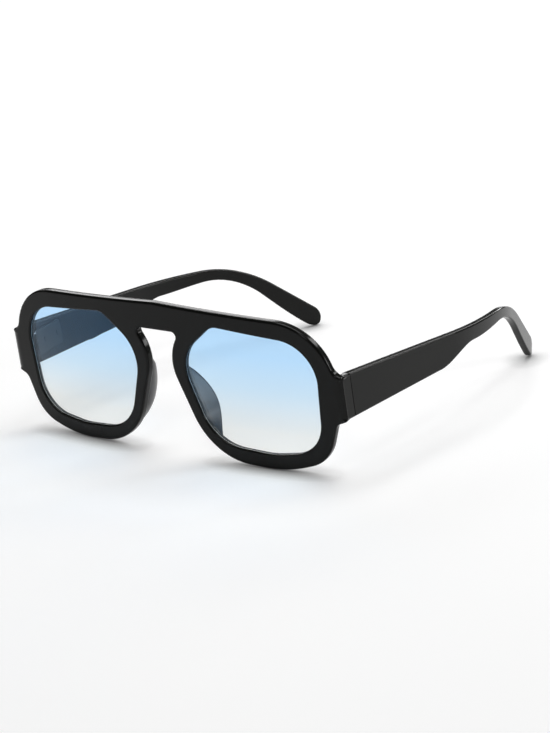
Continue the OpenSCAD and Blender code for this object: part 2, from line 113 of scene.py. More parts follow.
def ease(t: float) -> float:
    """A smooth step from 0 to 1, held at both ends."""
    c = max(0.0, min(1.0, t))
    return c * c * (3 - 2 * c)


def between(a: Flat, b: Flat, t: float) -> Flat:
    """The plane point at share t of the way from a to b."""
    return blend_to(a[0], b[0], t), blend_to(a[1], b[1], t)


def unit(x: float, y: float) -> Flat:
    """The plane direction (x, y) at length one."""
    n = hypot(x, y) or 1.0
    return x / n, y / n


@dataclass
class Outline:
    """A closed outline of straight sides with rounded corners.

    It starts and ends in the middle of its first corner and runs clockwise, so that the normal
    on the left of its way points outwards.
    """

    corners: Sequence[Point]
    arc: int = 24
    points: list[Flat] = field(default_factory=list)
    runs: list[float] = field(default_factory=list)

    def __post_init__(self) -> None:
        """Lays the corner arcs and measures the way along them."""
        n = len(self.corners)
        arcs = [
            self._corner(self.corners[i - 1], self.corners[i], self.corners[(i + 1) % n]) for i in range(n)
        ]
        half = self.arc // 2
        self.points = arcs[0][half:] + [p for a in arcs[1:] for p in a] + arcs[0][: half + 1]
        total = 0.0
        self.runs = [0.0]
        for a, b in zip(self.points, self.points[1:]):
            total += hypot(b[0] - a[0], b[1] - a[1])
            self.runs.append(total)

    def _corner(self, a: Sequence[float], b: Sequence[float], c: Sequence[float]) -> list[Flat]:
        """The arc at corner b between the sides towards a and c."""
        r = b[2]
        if r == 0:
            return [(b[0], b[1])] * (self.arc + 1)
        ux, uy = unit(a[0] - b[0], a[1] - b[1])
        wx, wy = unit(c[0] - b[0], c[1] - b[1])
        half = acos(max(-1.0, min(1.0, ux * wx + uy * wy))) / 2
        mx, my = unit(ux + wx, uy + wy)
        ox, oy = b[0] + mx * r / sin(half), b[1] + my * r / sin(half)
        sx, sy = b[0] + ux * r / tan(half), b[1] + uy * r / tan(half)
        ex, ey = b[0] + wx * r / tan(half), b[1] + wy * r / tan(half)
        a0 = atan2(sy - oy, sx - ox)
        turn = (atan2(ey - oy, ex - ox) - a0 + 3 * pi) % (2 * pi) - pi
        return [
            (ox + r * cos(a0 + turn * i / self.arc), oy + r * sin(a0 + turn * i / self.arc))
            for i in range(self.arc + 1)
        ]

    def key(self, k: float) -> float:
        """The way along the outline to corner k, which may lie between two corners."""
        f = int(k)
        g = k - f
        if g:
            return blend_to(self.key(f), self.key(f + 1), g)
        if f == 0:
            return 0.0
        if f == len(self.corners):
            return self.runs[-1]
        return self.runs[self.arc // 2 + 1 + (f - 1) * (self.arc + 1) + self.arc // 2]

    def at(self, d: float) -> Flat:
        """The point at way d along the outline."""
        lo, hi = 0, len(self.runs) - 1
        while hi - lo > 1:
            mid = (lo + hi) // 2
            if self.runs[mid] <= d:
                lo = mid
            else:
                hi = mid
        span = self.runs[hi] - self.runs[lo]
        t = (d - self.runs[lo]) / span if span > 1e-9 else 0.0
        return between(self.points[lo], self.points[hi], t)


def outward(points: Sequence[Flat], i: int) -> Flat:
    """The outward normal of a closed run of points at point i."""
    a, b = points[i - 1], points[(i + 1) % len(points)]
    return unit(-(b[1] - a[1]), b[0] - a[0])


# Places and hand tools


@dataclass
class Stand:
    """Puts a point of the front's own frame, in mm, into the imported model's frame, in metres."""

    tilt: float = 0.0
    shift: tuple[float, float] = (0.0, 0.0)

    @classmethod
    def from_hinge(cls, pivot: Point) -> "Stand":
        """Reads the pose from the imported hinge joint.

        Args:
            pivot: the middle of the left hinge in the front's own frame.

        Returns:
            The pose in which the whole assembly stands.
        """
        joint = next(j for j in frame["joints"] if j["name"] == "temple_left_fold")
        tilt = atan2(-joint["axis"][1], joint["axis"][2])
        y = pivot[1] * cos(tilt) - pivot[2] * sin(tilt)
        z = pivot[1] * sin(tilt) + pivot[2] * cos(tilt)
        return cls(tilt, (joint["pos_m"][1] - y / 1000, joint["pos_m"][2] - z / 1000))

    def matrix(self) -> Matrix:
        """The pose as one matrix that takes millimetres to metres."""
        place = Matrix.Translation((0.0, self.shift[0], self.shift[1]))
        return place @ Matrix.Rotation(self.tilt, 4, "X") @ Matrix.Scale(0.001, 4)


def deselect() -> None:
    """Leaves object mode clean, with nothing selected."""
    if bpy.context.object and bpy.context.object.mode != "OBJECT":
        bpy.ops.object.mode_set(mode="OBJECT")
    bpy.ops.object.select_all(action="DESELECT")


def pick(*objs: bpy.types.Object) -> None:
    """Selects these objects alone and makes the first one active."""
    deselect()
    for o in objs:
        o.select_set(True)
    bpy.context.view_layer.objects.active = objs[0]


def loft(name: str, rings: Sequence[Ring], joined: bool = False) -> bpy.types.Object:
    """Draws a skin by extruding one ring of edges from section to section.

    Args:
        name: the object's name.
        rings: the sections, each with the same number of points, in mm.
        joined: whether the last section is welded to the first one, as on a rim. Otherwise both
            are filled.

    Returns:
        The new object, still in the front's own frame.
    """
    deselect()
    bpy.ops.mesh.primitive_circle_add(vertices=len(rings[0]), radius=1)
    obj = bpy.context.object
    obj.name = name
    bpy.ops.object.mode_set(mode="EDIT")
    mesh = bmesh.from_edit_mesh(obj.data)
    mesh.verts.ensure_lookup_table()
    ring = list(range(len(rings[0])))
    for i, place in zip(ring, rings[0]):
        mesh.verts[i].co = place
    if not joined:
        bpy.ops.mesh.edge_face_add()
        mesh = bmesh.from_edit_mesh(obj.data)
        for e in mesh.edges:
            e.select = True
        bpy.ops.mesh.select_mode(type="EDGE")
    for section in list(rings[1:]) + ([rings[0]] if joined else []):
        bpy.ops.mesh.extrude_edges_move()
        mesh = bmesh.from_edit_mesh(obj.data)
        mesh.verts.ensure_lookup_table()
        new = []
        for i in ring:
            v = mesh.verts[i]
            far = [e.other_vert(v) for e in v.link_edges]
            new.append(next(o.index for o in far if o.select and not v.select))
        for i, place in zip(new, section):
            mesh.verts[i].co = place
        ring = new
    if not joined:
        bpy.ops.mesh.edge_face_add()
    bpy.ops.mesh.select_all(action="SELECT")
    if joined:
        bpy.ops.mesh.remove_doubles(threshold=MERGE)
    bpy.ops.mesh.normals_make_consistent(inside=False)
    bpy.ops.object.mode_set(mode="OBJECT")
    return obj


def block(name: str, low: Point, high: Point, edge: float = 0.0) -> bpy.types.Object:
    """A box between two corners, its edges bevelled by ``edge``, in mm."""
    deselect()
    middle = [(a + b) / 2 for a, b in zip(low, high)]
    bpy.ops.mesh.primitive_cube_add(size=1, location=middle, scale=[b - a for a, b in zip(low, high)])
    obj = bpy.context.object
    obj.name = name
    bpy.ops.object.transform_apply(location=True, rotation=True, scale=True)
    if edge:
        bpy.ops.object.mode_set(mode="EDIT")
        bpy.ops.mesh.select_all(action="SELECT")
        bpy.ops.mesh.bevel(offset=edge, segments=BEVEL_STEPS, affect="EDGES")
        bpy.ops.object.mode_set(mode="OBJECT")
    return obj


def rod(name: str, foot: Point, height: float, radius: float, edge: float = 0.0, around: int = 48,
        lie: Lie = Lie.UP) -> bpy.types.Object:
    """A round rod that rises from its foot, its rims bevelled by ``edge``, in mm.

    Args:
        name: the object's name.
        foot: the middle of its lower end.
        height: its length.
        radius: its radius.
        edge: the bevel of its two rims.
        around: its number of sides.
        lie: the direction in which it rises.

    Returns:
        The new object.
    """
    deselect()
    middle = Vector(foot) + lie.way * height / 2
    bpy.ops.mesh.primitive_cylinder_add(
        vertices=around, radius=radius, depth=height, location=middle, rotation=lie.turn
    )
    obj = bpy.context.object
    obj.name = name
    bpy.ops.object.transform_apply(location=True, rotation=True, scale=True)
    if edge:
        bpy.ops.object.mode_set(mode="EDIT")
        mesh = bmesh.from_edit_mesh(obj.data)
        for f in mesh.faces:
            f.select = False
        for e in mesh.edges:
            e.select = any(len(f.verts) > 4 for f in e.link_faces)
        bmesh.update_edit_mesh(obj.data)
        bpy.ops.mesh.bevel(offset=edge, segments=BEVEL_STEPS, affect="EDGES")
        bpy.ops.object.mode_set(mode="OBJECT")
    return obj


def boolean(body: bpy.types.Object, other: bpy.types.Object, operation: str) -> None:
    """Applies a Boolean modifier with other to body, and removes other."""
    pick(body)
    mod = body.modifiers.new("Boolean", "BOOLEAN")
    mod.operation = operation
    mod.solver = "MANIFOLD"
    mod.object = other
    bpy.ops.object.modifier_apply(modifier=mod.name)
    bpy.data.objects.remove(other, do_unlink=True)


def weld(body: bpy.types.Object, *others: bpy.types.Object) -> None:
    """Adds closed solids to body, one after another."""
    for other in others:
        boolean(body, other, "UNION")


def cut(body: bpy.types.Object, *others: bpy.types.Object) -> None:
    """Takes closed solids away from body, one after another."""
    for other in others:
        boolean(body, other, "DIFFERENCE")


def together(name: str, parts: Sequence[bpy.types.Object]) -> bpy.types.Object:
    """Joins the loose solids of one piece into one object."""
    pick(*parts)
    bpy.ops.object.join()
    obj = bpy.context.object
    obj.name = name
    return obj


def finish_piece(obj: bpy.types.Object, stand: Stand, side: Side, angle: float) -> bpy.types.Object:
    """Stands a piece in its place and smooths it.

    Args:
        obj: the piece, drawn for the wearer's left in the front's own frame.
        stand: the pose of the whole assembly.
        side: the side it belongs to; the right one is the mirror image.
        angle: faces that meet at less than this many degrees are shaded as one surface.

    Returns:
        The same object.
    """
    flip = Matrix.Scale(side.value, 4, (1, 0, 0))
    obj.data.transform(stand.matrix() @ flip)
    pick(obj)
    bpy.ops.object.mode_set(mode="EDIT")
    bpy.ops.mesh.select_all(action="SELECT")
    bpy.ops.mesh.dissolve_degenerate(threshold=TINY_M)
    bpy.ops.mesh.normals_make_consistent(inside=False)
    bpy.ops.object.mode_set(mode="OBJECT")
    bpy.ops.object.shade_smooth_by_angle(angle=radians(angle))
    mod = obj.modifiers.new("WeightedNormal", "WEIGHTED_NORMAL")
    mod.keep_sharp = True
    bpy.ops.object.modifier_apply(modifier=mod.name)
    return obj


# Finishes


@dataclass(frozen=True)
class Grain:
    """A noise on a piece's own coordinates: the higher its scale, the finer it is."""

    scale: float
    detail: float = 2.0
    stretch: Point = (1.0, 1.0, 1.0)


MOULD_WAVE = Grain(140.0, 1.0)
HAIRLINES = Grain(900.0, 2.0, (1.0, 0.08, 1.0))
PAD_SKIN = Grain(2600.0)
GRINDING = Grain(3000.0, 2.0, (0.3, 4.0, 0.3))
BRUSHING = Grain(6000.0, 3.0)
LONG_BRUSHING = Grain(6000.0, 3.0, (1.0, 0.06, 1.0))


class Nodes:
    """A node tree under construction, with short calls for its nodes and links."""

    def __init__(self, tree: bpy.types.NodeTree) -> None:
        """Keeps the tree that it adds to."""
        self.tree = tree

    def node(self, kind: str, **values: object) -> bpy.types.Node:
        """Adds a node and sets its inputs (by name) or properties."""
        made = self.tree.nodes.new(kind)
        for key, value in values.items():
            if hasattr(made, key):
                setattr(made, key, value)
            else:
                made.inputs[key.replace("_", " ")].default_value = value
        return made

    def link(self, a: bpy.types.Node, a_out: str | int, b: bpy.types.Node, b_in: str | int) -> None:
        """Links an output of node a to an input of node b."""
        self.tree.links.new(a.outputs[a_out], b.inputs[b_in])

    def spread(self, source: bpy.types.Node, out: str | int, low: float, high: float) -> bpy.types.Node:
        """Maps a 0 to 1 value onto the span from low to high."""
        made = self.node("ShaderNodeMapRange", To_Min=low, To_Max=high)
        self.link(source, out, made, "Value")
        return made

    def looked_at(self) -> bpy.types.Node:
        """1 where the camera, a mirror or a lens looks, and 0 for light."""
        path = self.node("ShaderNodeLightPath")
        seen = self.node("ShaderNodeMath", operation="MAXIMUM")
        self.link(path, "Is Camera Ray", seen, 0)
        self.link(path, "Is Glossy Ray", seen, 1)
        through = self.node("ShaderNodeMath", operation="MAXIMUM")
        self.link(seen, 0, through, 0)
        self.link(path, "Is Transmission Ray", through, 1)
        return through


class Shader(Nodes):
    """A Principled material under construction."""

    def __init__(self, name: str) -> None:
        """Makes an empty node material with a Principled surface."""
        self.material = bpy.data.materials.new(name)
        self.material.use_nodes = True
        super().__init__(self.material.node_tree)
        self.tree.nodes.clear()
        self.out = self.node("ShaderNodeOutputMaterial")
        self.surface = self.node("ShaderNodeBsdfPrincipled")
        self.link(self.surface, "BSDF", self.out, "Surface")
        self.coords = self.node("ShaderNodeTexCoord")

    def set(self, **values: object) -> None:
        """Sets constant values on the surface's own sockets."""
        for key, value in values.items():
            self.surface.inputs[key.replace("_", " ")].default_value = value

    def noise(self, grain: Grain) -> bpy.types.Node:
        """A noise texture on the object's own coordinates."""
        mapping = self.node("ShaderNodeMapping", Scale=grain.stretch)
        self.link(self.coords, "Object", mapping, "Vector")
        noise = self.node("ShaderNodeTexNoise", Scale=grain.scale, Detail=grain.detail)
        self.link(mapping, "Vector", noise, "Vector")
        return noise

    def bump(self, source: bpy.types.Node, out: str | int, strength: float, distance: float) -> None:
        """Raises the surface by a texture."""
        made = self.node("ShaderNodeBump", Strength=strength, Distance=distance)
        self.link(source, out, made, "Height")
        self.link(made, "Normal", self.surface, "Normal")


@dataclass(frozen=True)
class Finish:
    """A surface whose tone, gloss and relief each follow a fine grain."""

    name: str
    dark: Point
    pale: Point
    tone: Grain
    gloss: Grain
    relief: Grain
    rough: Flat
    strength: float
    depth: float
    specular: float
    ior: float = 1.5
    metal: float = 0.0

    def material(self) -> bpy.types.Material:
        """Builds the material."""
        s = Shader(self.name)
        s.set(Specular_IOR_Level=self.specular, IOR=self.ior, Metallic=self.metal)
        mix = s.node("ShaderNodeMix", data_type="RGBA")
        mix.inputs[6].default_value = (*self.dark, 1)
        mix.inputs[7].default_value = (*self.pale, 1)
        s.link(s.noise(self.tone), "Fac", mix, 0)
        s.link(mix, 2, s.surface, "Base Color")
        s.link(s.spread(s.noise(self.gloss), "Fac", *self.rough), "Result", s.surface, "Roughness")
        s.bump(s.noise(self.relief), "Fac", self.strength, self.depth)
        return s.material


@dataclass(frozen=True)
class GlossPlastic(Finish):
    """Polished injection-moulded plastic: near black, with faint moulding waves and hairlines."""

    name: str = "frame_black"
    dark: Point = (0.0070, 0.0073, 0.0066)
    pale: Point = (0.0105, 0.0108, 0.0098)
    tone: Grain = Grain(55.0, 3.0)
    gloss: Grain = HAIRLINES
    relief: Grain = MOULD_WAVE
    rough: Flat = (0.11, 0.19)
    strength: float = 0.10
    depth: float = 0.00012
    specular: float = 0.15


@dataclass(frozen=True)
class SatinPad(Finish):
    """Soft satin plastic of the nose pads, a shade paler than the frame, with a fine skin."""

    name: str = "pad_dark"
    dark: Point = (0.010, 0.010, 0.011)
    pale: Point = (0.018, 0.018, 0.019)
    tone: Grain = Grain(220.0, 3.0)
    gloss: Grain = PAD_SKIN
    relief: Grain = PAD_SKIN
    rough: Flat = (0.27, 0.31)
    strength: float = 0.015
    depth: float = 0.00002
    specular: float = 0.4
    ior: float = 1.48


@dataclass(frozen=True)
class TintedLens:
    """Clear lens plastic, tinted sky blue at the top and fading to almost clear at the bottom."""

    name: str = "lens_tint"
    low: float = 0.004
    high: float = 0.050
    haze: Grain = Grain(60.0, 2.0, (1.0, 1.0, 0.25))
    rough: Flat = (0.0, 0.012)
    mirror: Point = (0.10, 0.38, 0.74)
    stops: tuple[tuple[float, Point], ...] = (
        (0.00, (0.84, 0.845, 0.825)),
        (0.19, (0.813, 0.837, 0.824)),
        (0.52, (0.586, 0.761, 0.906)),
        (0.78, (0.48, 0.72, 0.965)),
        (1.00, (0.47, 0.71, 0.965)),
    )

    def material(self) -> bpy.types.Material:
        """Builds the material: glass to look at, and a plain tint for the light that falls through."""
        s = Shader(self.name)
        s.set(Transmission_Weight=1.0, IOR=1.46, Specular_Tint=(*self.mirror, 1))
        split = s.node("ShaderNodeSeparateXYZ")
        s.link(s.coords, "Object", split, "Vector")
        height = s.node("ShaderNodeMapRange", From_Min=self.low, From_Max=self.high)
        s.link(split, "Z", height, "Value")
        ramp = s.node("ShaderNodeValToRGB")
        while len(ramp.color_ramp.elements) < len(self.stops):
            ramp.color_ramp.elements.new(0.5)
        for element, (place, colour) in zip(ramp.color_ramp.elements, self.stops):
            element.position = place
            element.color = (*colour, 1)
        s.link(height, "Result", ramp, "Fac")
        s.link(ramp, "Color", s.surface, "Base Color")
        s.link(s.spread(s.noise(self.haze), "Fac", *self.rough), "Result", s.surface, "Roughness")
        clear = s.node("ShaderNodeBsdfTransparent")
        s.link(ramp, "Color", clear, "Color")
        path = s.node("ShaderNodeLightPath")
        pick_shadow = s.node("ShaderNodeMixShader")
        s.link(path, "Is Shadow Ray", pick_shadow, 0)
        s.link(s.surface, "BSDF", pick_shadow, 1)
        s.link(clear, "BSDF", pick_shadow, 2)
        s.link(pick_shadow, 0, s.out, "Surface")
        return s.material


@dataclass(frozen=True)
class GroundEdge(Finish):
    """The lens's ground edge, matt and pale, with the grinding wheel's fine lines round it; a near-black copy
    of it is painted shade on the edge inside the groove.
    """

    name: str = "lens_edge"
    dark: Point = (0.30, 0.32, 0.34)
    pale: Point = (0.46, 0.48, 0.50)
    tone: Grain = GRINDING
    gloss: Grain = GRINDING
    relief: Grain = GRINDING
    rough: Flat = (0.38, 0.52)
    strength: float = 0.2
    depth: float = 0.00002
    specular: float = 0.4
    ior: float = 1.46


@dataclass(frozen=True)
class Steel(Finish):
    """Turned steel, bright, with a fine brushing."""

    name: str = "screw_steel"
    dark: Point = (0.60, 0.60, 0.62)
    pale: Point = (0.72, 0.72, 0.73)
    tone: Grain = BRUSHING
    gloss: Grain = BRUSHING
    relief: Grain = BRUSHING
    rough: Flat = (0.12, 0.22)
    strength: float = 0.15
    depth: float = 0.00002
    specular: float = 0.25
    metal: float = 1.0


@dataclass(frozen=True)
class BlackenedSteel(Steel):
    """Stamped steel under a black coat, brushed along the leaf."""

    name: str = "hinge_black"
    dark: Point = (0.009, 0.009, 0.009)
    pale: Point = (0.016, 0.016, 0.016)
    tone: Grain = LONG_BRUSHING
    gloss: Grain = LONG_BRUSHING
    relief: Grain = LONG_BRUSHING
    rough: Flat = (0.28, 0.42)
    metal: float = 0.0


# The front with its lenses and nose pads


@dataclass
class FrontSizes:
    """Sizes of the moulded front, in mm."""

    lens_w: float = 55.4
    lens_h: float = 44.2
    bridge_w: float = 17.1
    r_outer: float = 14.4
    r_lower: float = 13.0
    cut_w: float = 15.3
    cut_h: float = 12.5
    nasal_lean: float = 9.8
    side_lean: float = 2.4
    top_fall: float = 3.7
    low_at: float = 33.0
    side_w: float = 8.5
    thick: float = 3.3
    wrap_r: float = 450.0
    brow_h: float = 6.1
    brow_fall: float = 2.9
    brow_r: float = 21.5
    rim_low: float = 5.6
    rim_r: float = 13.4
    rim_r_nose: float = 24.0
    edge_r: float = 0.8
    back_r: float = 1.0
    lip_r: float = 0.4
    notch_half: float = 9.6
    neck_half: float = 3.6
    neck_drop: float = 9.7
    bridge_h: float = 9.9
    lug_top: float = 10.5
    lug_depth: float = 5.2
    lug_r: float = 1.4
    lug_round: float = 2.4
    lug_fillet: float = 4.4
    cut_r: float = 6.8
    low_r: float = 34.0
    nasal_low_r: float = 17.0
    nasal_r: float = 13.9
    outer_rise: float = 2.5
    nasal_rise: float = 1.7
    shoulder_in: float = 0.5
    lug_out: Flat = (3.2, 4.2)
    lug_rise: Flat = (1.2, 1.5)
    lug_corner_r: float = 1.5
    lug_low_r: float = 3.0
    rim_outer_rise: float = 5.0
    rim_flat: float = 5.0
    rim_flat_r: float = 50.0
    rim_nose: Flat = (8.1, 1.9)
    neck_r: float = 15.6
    notch_r: float = 1.6
    groove: float = 0.7
    groove_half: float = 0.65
    temple_h: float = 15.3
    temple_th: float = 3.0
    temple_r: float = 0.6
    temple_inset: float = 0.7

    @property
    def nose_x(self) -> float:
        """Place of the openings' nasal corner."""
        return self.bridge_w / 2

    @property
    def outer_x(self) -> float:
        """Place of the openings' outer corner."""
        return self.nose_x + self.lens_w

    @property
    def top_z(self) -> float:
        """Height of the openings' top corner."""
        return self.bridge_h - self.brow_h

    @property
    def low_z(self) -> float:
        """Height of the openings' lowest corner."""
        return self.top_z - self.lens_h

    @property
    def half_w(self) -> float:
        """Half of the front's width."""
        return self.outer_x + self.side_w

    @property
    def temple_x(self) -> float:
        """Middle of a temple's thickness at the seam."""
        return self.half_w - self.temple_inset - self.temple_th / 2

    @property
    def temple_in(self) -> float:
        """Inner face of a temple at the seam."""
        return self.half_w - self.temple_inset - self.temple_th

    def bend(self, u: float, v: float, w: float) -> Point:
        """Wraps the flat drawing: u and v lie on the front face, w is the depth behind it."""
        a = u / self.wrap_r
        return (self.wrap_r - w) * sin(a), self.wrap_r - (self.wrap_r - w) * cos(a), v

    @property
    def seam_y(self) -> float:
        """Depth of the seam between end piece and temple."""
        return self.bend(self.half_w, 0, 0)[1] + self.lug_depth


def rounded_section(height: float, thick: float, r0: float) -> list[Flat]:
    """A rectangle with rounded corners, as (distance down, distance outwards) pairs.

    Args:
        height: its height.
        thick: its thickness.
        r0: the radius of its corners.

    Returns:
        The points, starting at the top of the outer face's upper corner.
    """
    r = min(r0, height * CORNER_MOST, thick * CORNER_MOST)
    corners = [
        (r, thick / 2 - r, 180.0),
        (height - r, thick / 2 - r, 90.0),
        (height - r, r - thick / 2, 0.0),
        (r, r - thick / 2, -90.0),
    ]
    return [
        (q + r * cos(radians(g - 90 * k / CORNER_STEPS)), b + r * sin(radians(g - 90 * k / CORNER_STEPS)))
        for q, b, g in corners
        for k in range(CORNER_STEPS + 1)
    ]


class Front:
    """The one-piece front: brow, bridge, two rims with lens grooves, and the end pieces."""

    # matched corners of the outer outline and of the opening, and the steps to the next pair
    MATCH = (
        (0, 0, 14), (1, 1, 8), (2, 1.3, 2), (3, 1.38, 5), (4, 1.62, 2), (5, 1.68, 7),
        (6, 2, 8), (7, 3, 8), (8, 4, 10), (9, 5, 5), (10, 5.4, 3), (11, 5.62, 3), (12, 6, 0),
    )
    DENSITY = 4
    FACETS = 4
    SMOOTH = 28.0
    # flat strips beside the rounding of the opening and of the outer edge, in mm
    LAND_IN = 0.5
    LAND_OUT = 0.3
    # the end piece's bevel at the seam, and how far its side lies under the front's, in mm
    SEAM_EDGE = 0.12
    SEAM_TRIM = 0.1
    SINK = 0.01

    def __init__(self, sizes: FrontSizes) -> None:
        """Draws both outlines and their matched stations."""
        self.s = s = sizes
        lug_bot, base, shoulder = s.lug_top + s.temple_h, s.low_z - s.rim_low, s.outer_x - s.shoulder_in
        self.outer = Outline((
            (0, s.bridge_h, 0),
            (shoulder, s.bridge_h - s.brow_fall, s.brow_r),
            (s.half_w - s.lug_out[0], s.lug_rise[0] - s.lug_top, s.lug_fillet),
            (s.half_w, -s.lug_top, s.lug_corner_r),
            (s.half_w, -lug_bot, s.lug_corner_r),
            (s.half_w - s.lug_out[1], -lug_bot - s.lug_rise[1], s.lug_low_r),
            (shoulder, base + s.rim_outer_rise, s.rim_r),
            (s.nose_x + s.low_at + s.rim_flat, base, s.rim_flat_r),
            (s.nose_x + s.rim_nose[0], base + s.rim_nose[1], s.rim_r_nose),
            (s.neck_half, -s.neck_drop, s.neck_r),
            (s.notch_half, 0, s.notch_r),
            (0, 0, 0),
        ))
        self.opening = Outline((
            (s.nose_x + s.cut_w, s.top_z, s.cut_r),
            (s.outer_x, s.top_z - s.top_fall, s.r_outer),
            (s.outer_x - s.side_lean, s.low_z + s.outer_rise, s.r_lower),
            (s.nose_x + s.low_at, s.low_z, s.low_r),
            (s.nose_x + s.nasal_lean, s.low_z + s.nasal_rise, s.nasal_low_r),
            (s.nose_x, s.top_z - s.cut_h, s.nasal_r),
        ))
        self.out = self._stations(self.outer, 0)
        self.win = self._stations(self.opening, 1)
        self.sym = len(self.out) - self.MATCH[-2][2] * self.DENSITY

    def _stations(self, line: Outline, column: int) -> list[Flat]:
        """The points of one outline at the matched stations."""
        points: list[Flat] = []
        for here, there in zip(self.MATCH, self.MATCH[1:]):
            a, b, n = line.key(here[column]), line.key(there[column]), here[2] * self.DENSITY
            points += [line.at(blend_to(a, b, i / n)) for i in range(n)]
        return points

    def _on_plane(self, i: int) -> bool:
        """Whether station i lies on the bridge's middle plane."""
        return i == 0 or i >= self.sym

    def _normal(self, i: int) -> Flat:
        """The outer outline's normal, upright at the middle plane."""
        if i == 0:
            return 0.0, 1.0
        if i == self.sym:
            return 0.0, -1.0
        return (0.0, 0.0) if i > self.sym else outward(self.out, i)

    def section(self) -> tuple[list[Flat], list[Flat]]:
        """The rim's section: distance from the opening or from the outer edge, and depth."""
        s, k = self.s, self.FACETS
        mid = s.thick / 2
        turns = [i / k * pi / 2 for i in range(k + 1)]
        inner = [(s.lip_r + self.LAND_IN, 0.0)]
        inner += [(s.lip_r * (1 - sin(a)), s.lip_r * (1 - cos(a))) for a in turns]
        inner += [(0, mid - s.groove_half), (s.groove, mid), (0, mid + s.groove_half)]
        inner += [(s.lip_r * (1 - cos(a)), s.thick - s.lip_r * (1 - sin(a))) for a in turns]
        inner += [(s.lip_r + self.LAND_IN, s.thick)]
        outer = [(s.back_r + self.LAND_OUT, s.thick)]
        outer += [(s.back_r * (1 - sin(a)), s.thick - s.back_r * (1 - cos(a))) for a in turns]
        outer += [(s.edge_r * (1 - cos(a)), s.edge_r * (1 - sin(a))) for a in turns]
        outer += [(s.edge_r + self.LAND_OUT, 0.0)]
        return inner, outer

    def rings(self) -> list[Ring]:
        """All loops of the left half: opening, back, outer edge and front face."""
        s = self.s
        inner, outer = self.section()
        n = len(self.out)
        wins = [outward(self.win, i) for i in range(n)]
        nrm = [self._normal(i) for i in range(n)]

        def lug(i: int) -> Flat:
            """How much wider and deeper the front edge's rounding is along the end piece's side."""
            side = self.out[i][0] > s.half_w - 0.01
            return (s.lug_round / s.edge_r, s.lug_r / s.edge_r) if side else (1.0, 1.0)

        def in_at(i: int, q: float) -> Flat:
            """A plane point beside the opening."""
            return self.win[i][0] + wins[i][0] * q, self.win[i][1] + wins[i][1] * q

        def out_at(i: int, q: float) -> Flat:
            """A plane point inside the outer edge."""
            if i > self.sym:
                return 0.0, min(max(self.out[i][1], self.out[self.sym][1] + q), self.out[0][1] - q)
            x = 0.0 if self._on_plane(i) else self.out[i][0] - nrm[i][0] * q
            return x, self.out[i][1] - nrm[i][1] * q

        loops: list[Ring] = []
        for q in inner:
            loops.append([s.bend(*in_at(i, q[0]), q[1]) for i in range(n)])
        for t in SHARES:
            loops.append([
                s.bend(*between(in_at(i, inner[-1][0]), out_at(i, outer[0][0]), t), s.thick) for i in range(n)
            ])
        for j, q in enumerate(outer):
            front = j > len(outer) / 2
            loops.append([
                s.bend(*out_at(i, q[0] * (lug(i)[0] if front else 1)), q[1] * (lug(i)[1] if front else 1))
                for i in range(n)
            ])
        for t in SHARES:
            loops.append([
                s.bend(*between(out_at(i, outer[-1][0] * lug(i)[0]), in_at(i, inner[0][0]), t), 0.0)
                for i in range(n)
            ])
        return loops

    def end_piece(self) -> bpy.types.Object:
        """The short arm behind the front's side that carries the hinge."""
        s = self.s
        flush, face = s.bend(s.half_w, 0, s.lug_r), s.temple_in + s.temple_th
        stops = [
            (flush[1], flush[0] - self.SINK, s.lug_r, 0.0),
            (s.seam_y - self.SEAM_EDGE, face, s.temple_r, 0.0),
            (s.seam_y, face, s.temple_r - self.SEAM_EDGE, self.SEAM_TRIM),
        ]
        rings = []
        for y, side, r, trim in stops:
            part = rounded_section(s.temple_h - 2 * trim, side - s.temple_in - 2 * trim, r)
            middle = (s.temple_in + side) / 2
            rings.append([(middle + b, y, -s.lug_top - trim - q) for q, b in part])
        return loft("end_piece", rings)

    def open_middle(self, half: bpy.types.Object, cap: bool) -> None:
        """Takes the faces off the bridge's middle plane, or puts one face in their place."""
        pick(half)
        bpy.ops.object.mode_set(mode="EDIT")
        bpy.ops.mesh.select_mode(type="FACE")
        bpy.ops.mesh.select_all(action="DESELECT")
        mesh = bmesh.from_edit_mesh(half.data)
        for f in mesh.faces:
            f.select = all(abs(v.co.x) < ON_PLANE for v in f.verts)
        bmesh.update_edit_mesh(half.data)
        bpy.ops.mesh.delete(type="FACE")
        if cap:
            bpy.ops.mesh.select_mode(type="EDGE")
            bpy.ops.mesh.select_non_manifold()
            bpy.ops.mesh.edge_face_add()
            bpy.ops.mesh.select_all(action="SELECT")
            bpy.ops.mesh.normals_make_consistent(inside=False)
        bpy.ops.object.mode_set(mode="OBJECT")

    def build(self, stand: Stand, hinge: "Hinge") -> bpy.types.Object:
        """Builds the front from its left half.

        Args:
            stand: the pose of the whole assembly.
            hinge: the hinge whose seats are cut into the back.

        Returns:
            The whole front.
        """
        half = loft("front", self.rings(), joined=True)
        self.open_middle(half, cap=True)
        weld(half, self.end_piece())
        cut(half, *hinge.seats())
        self.open_middle(half, cap=False)
        mod = half.modifiers.new("Mirror", "MIRROR")
        mod.use_mirror_merge = True
        mod.merge_threshold = MERGE
        bpy.ops.object.modifier_apply(modifier=mod.name)
        return finish_piece(half, stand, Side.LEFT, self.SMOOTH)


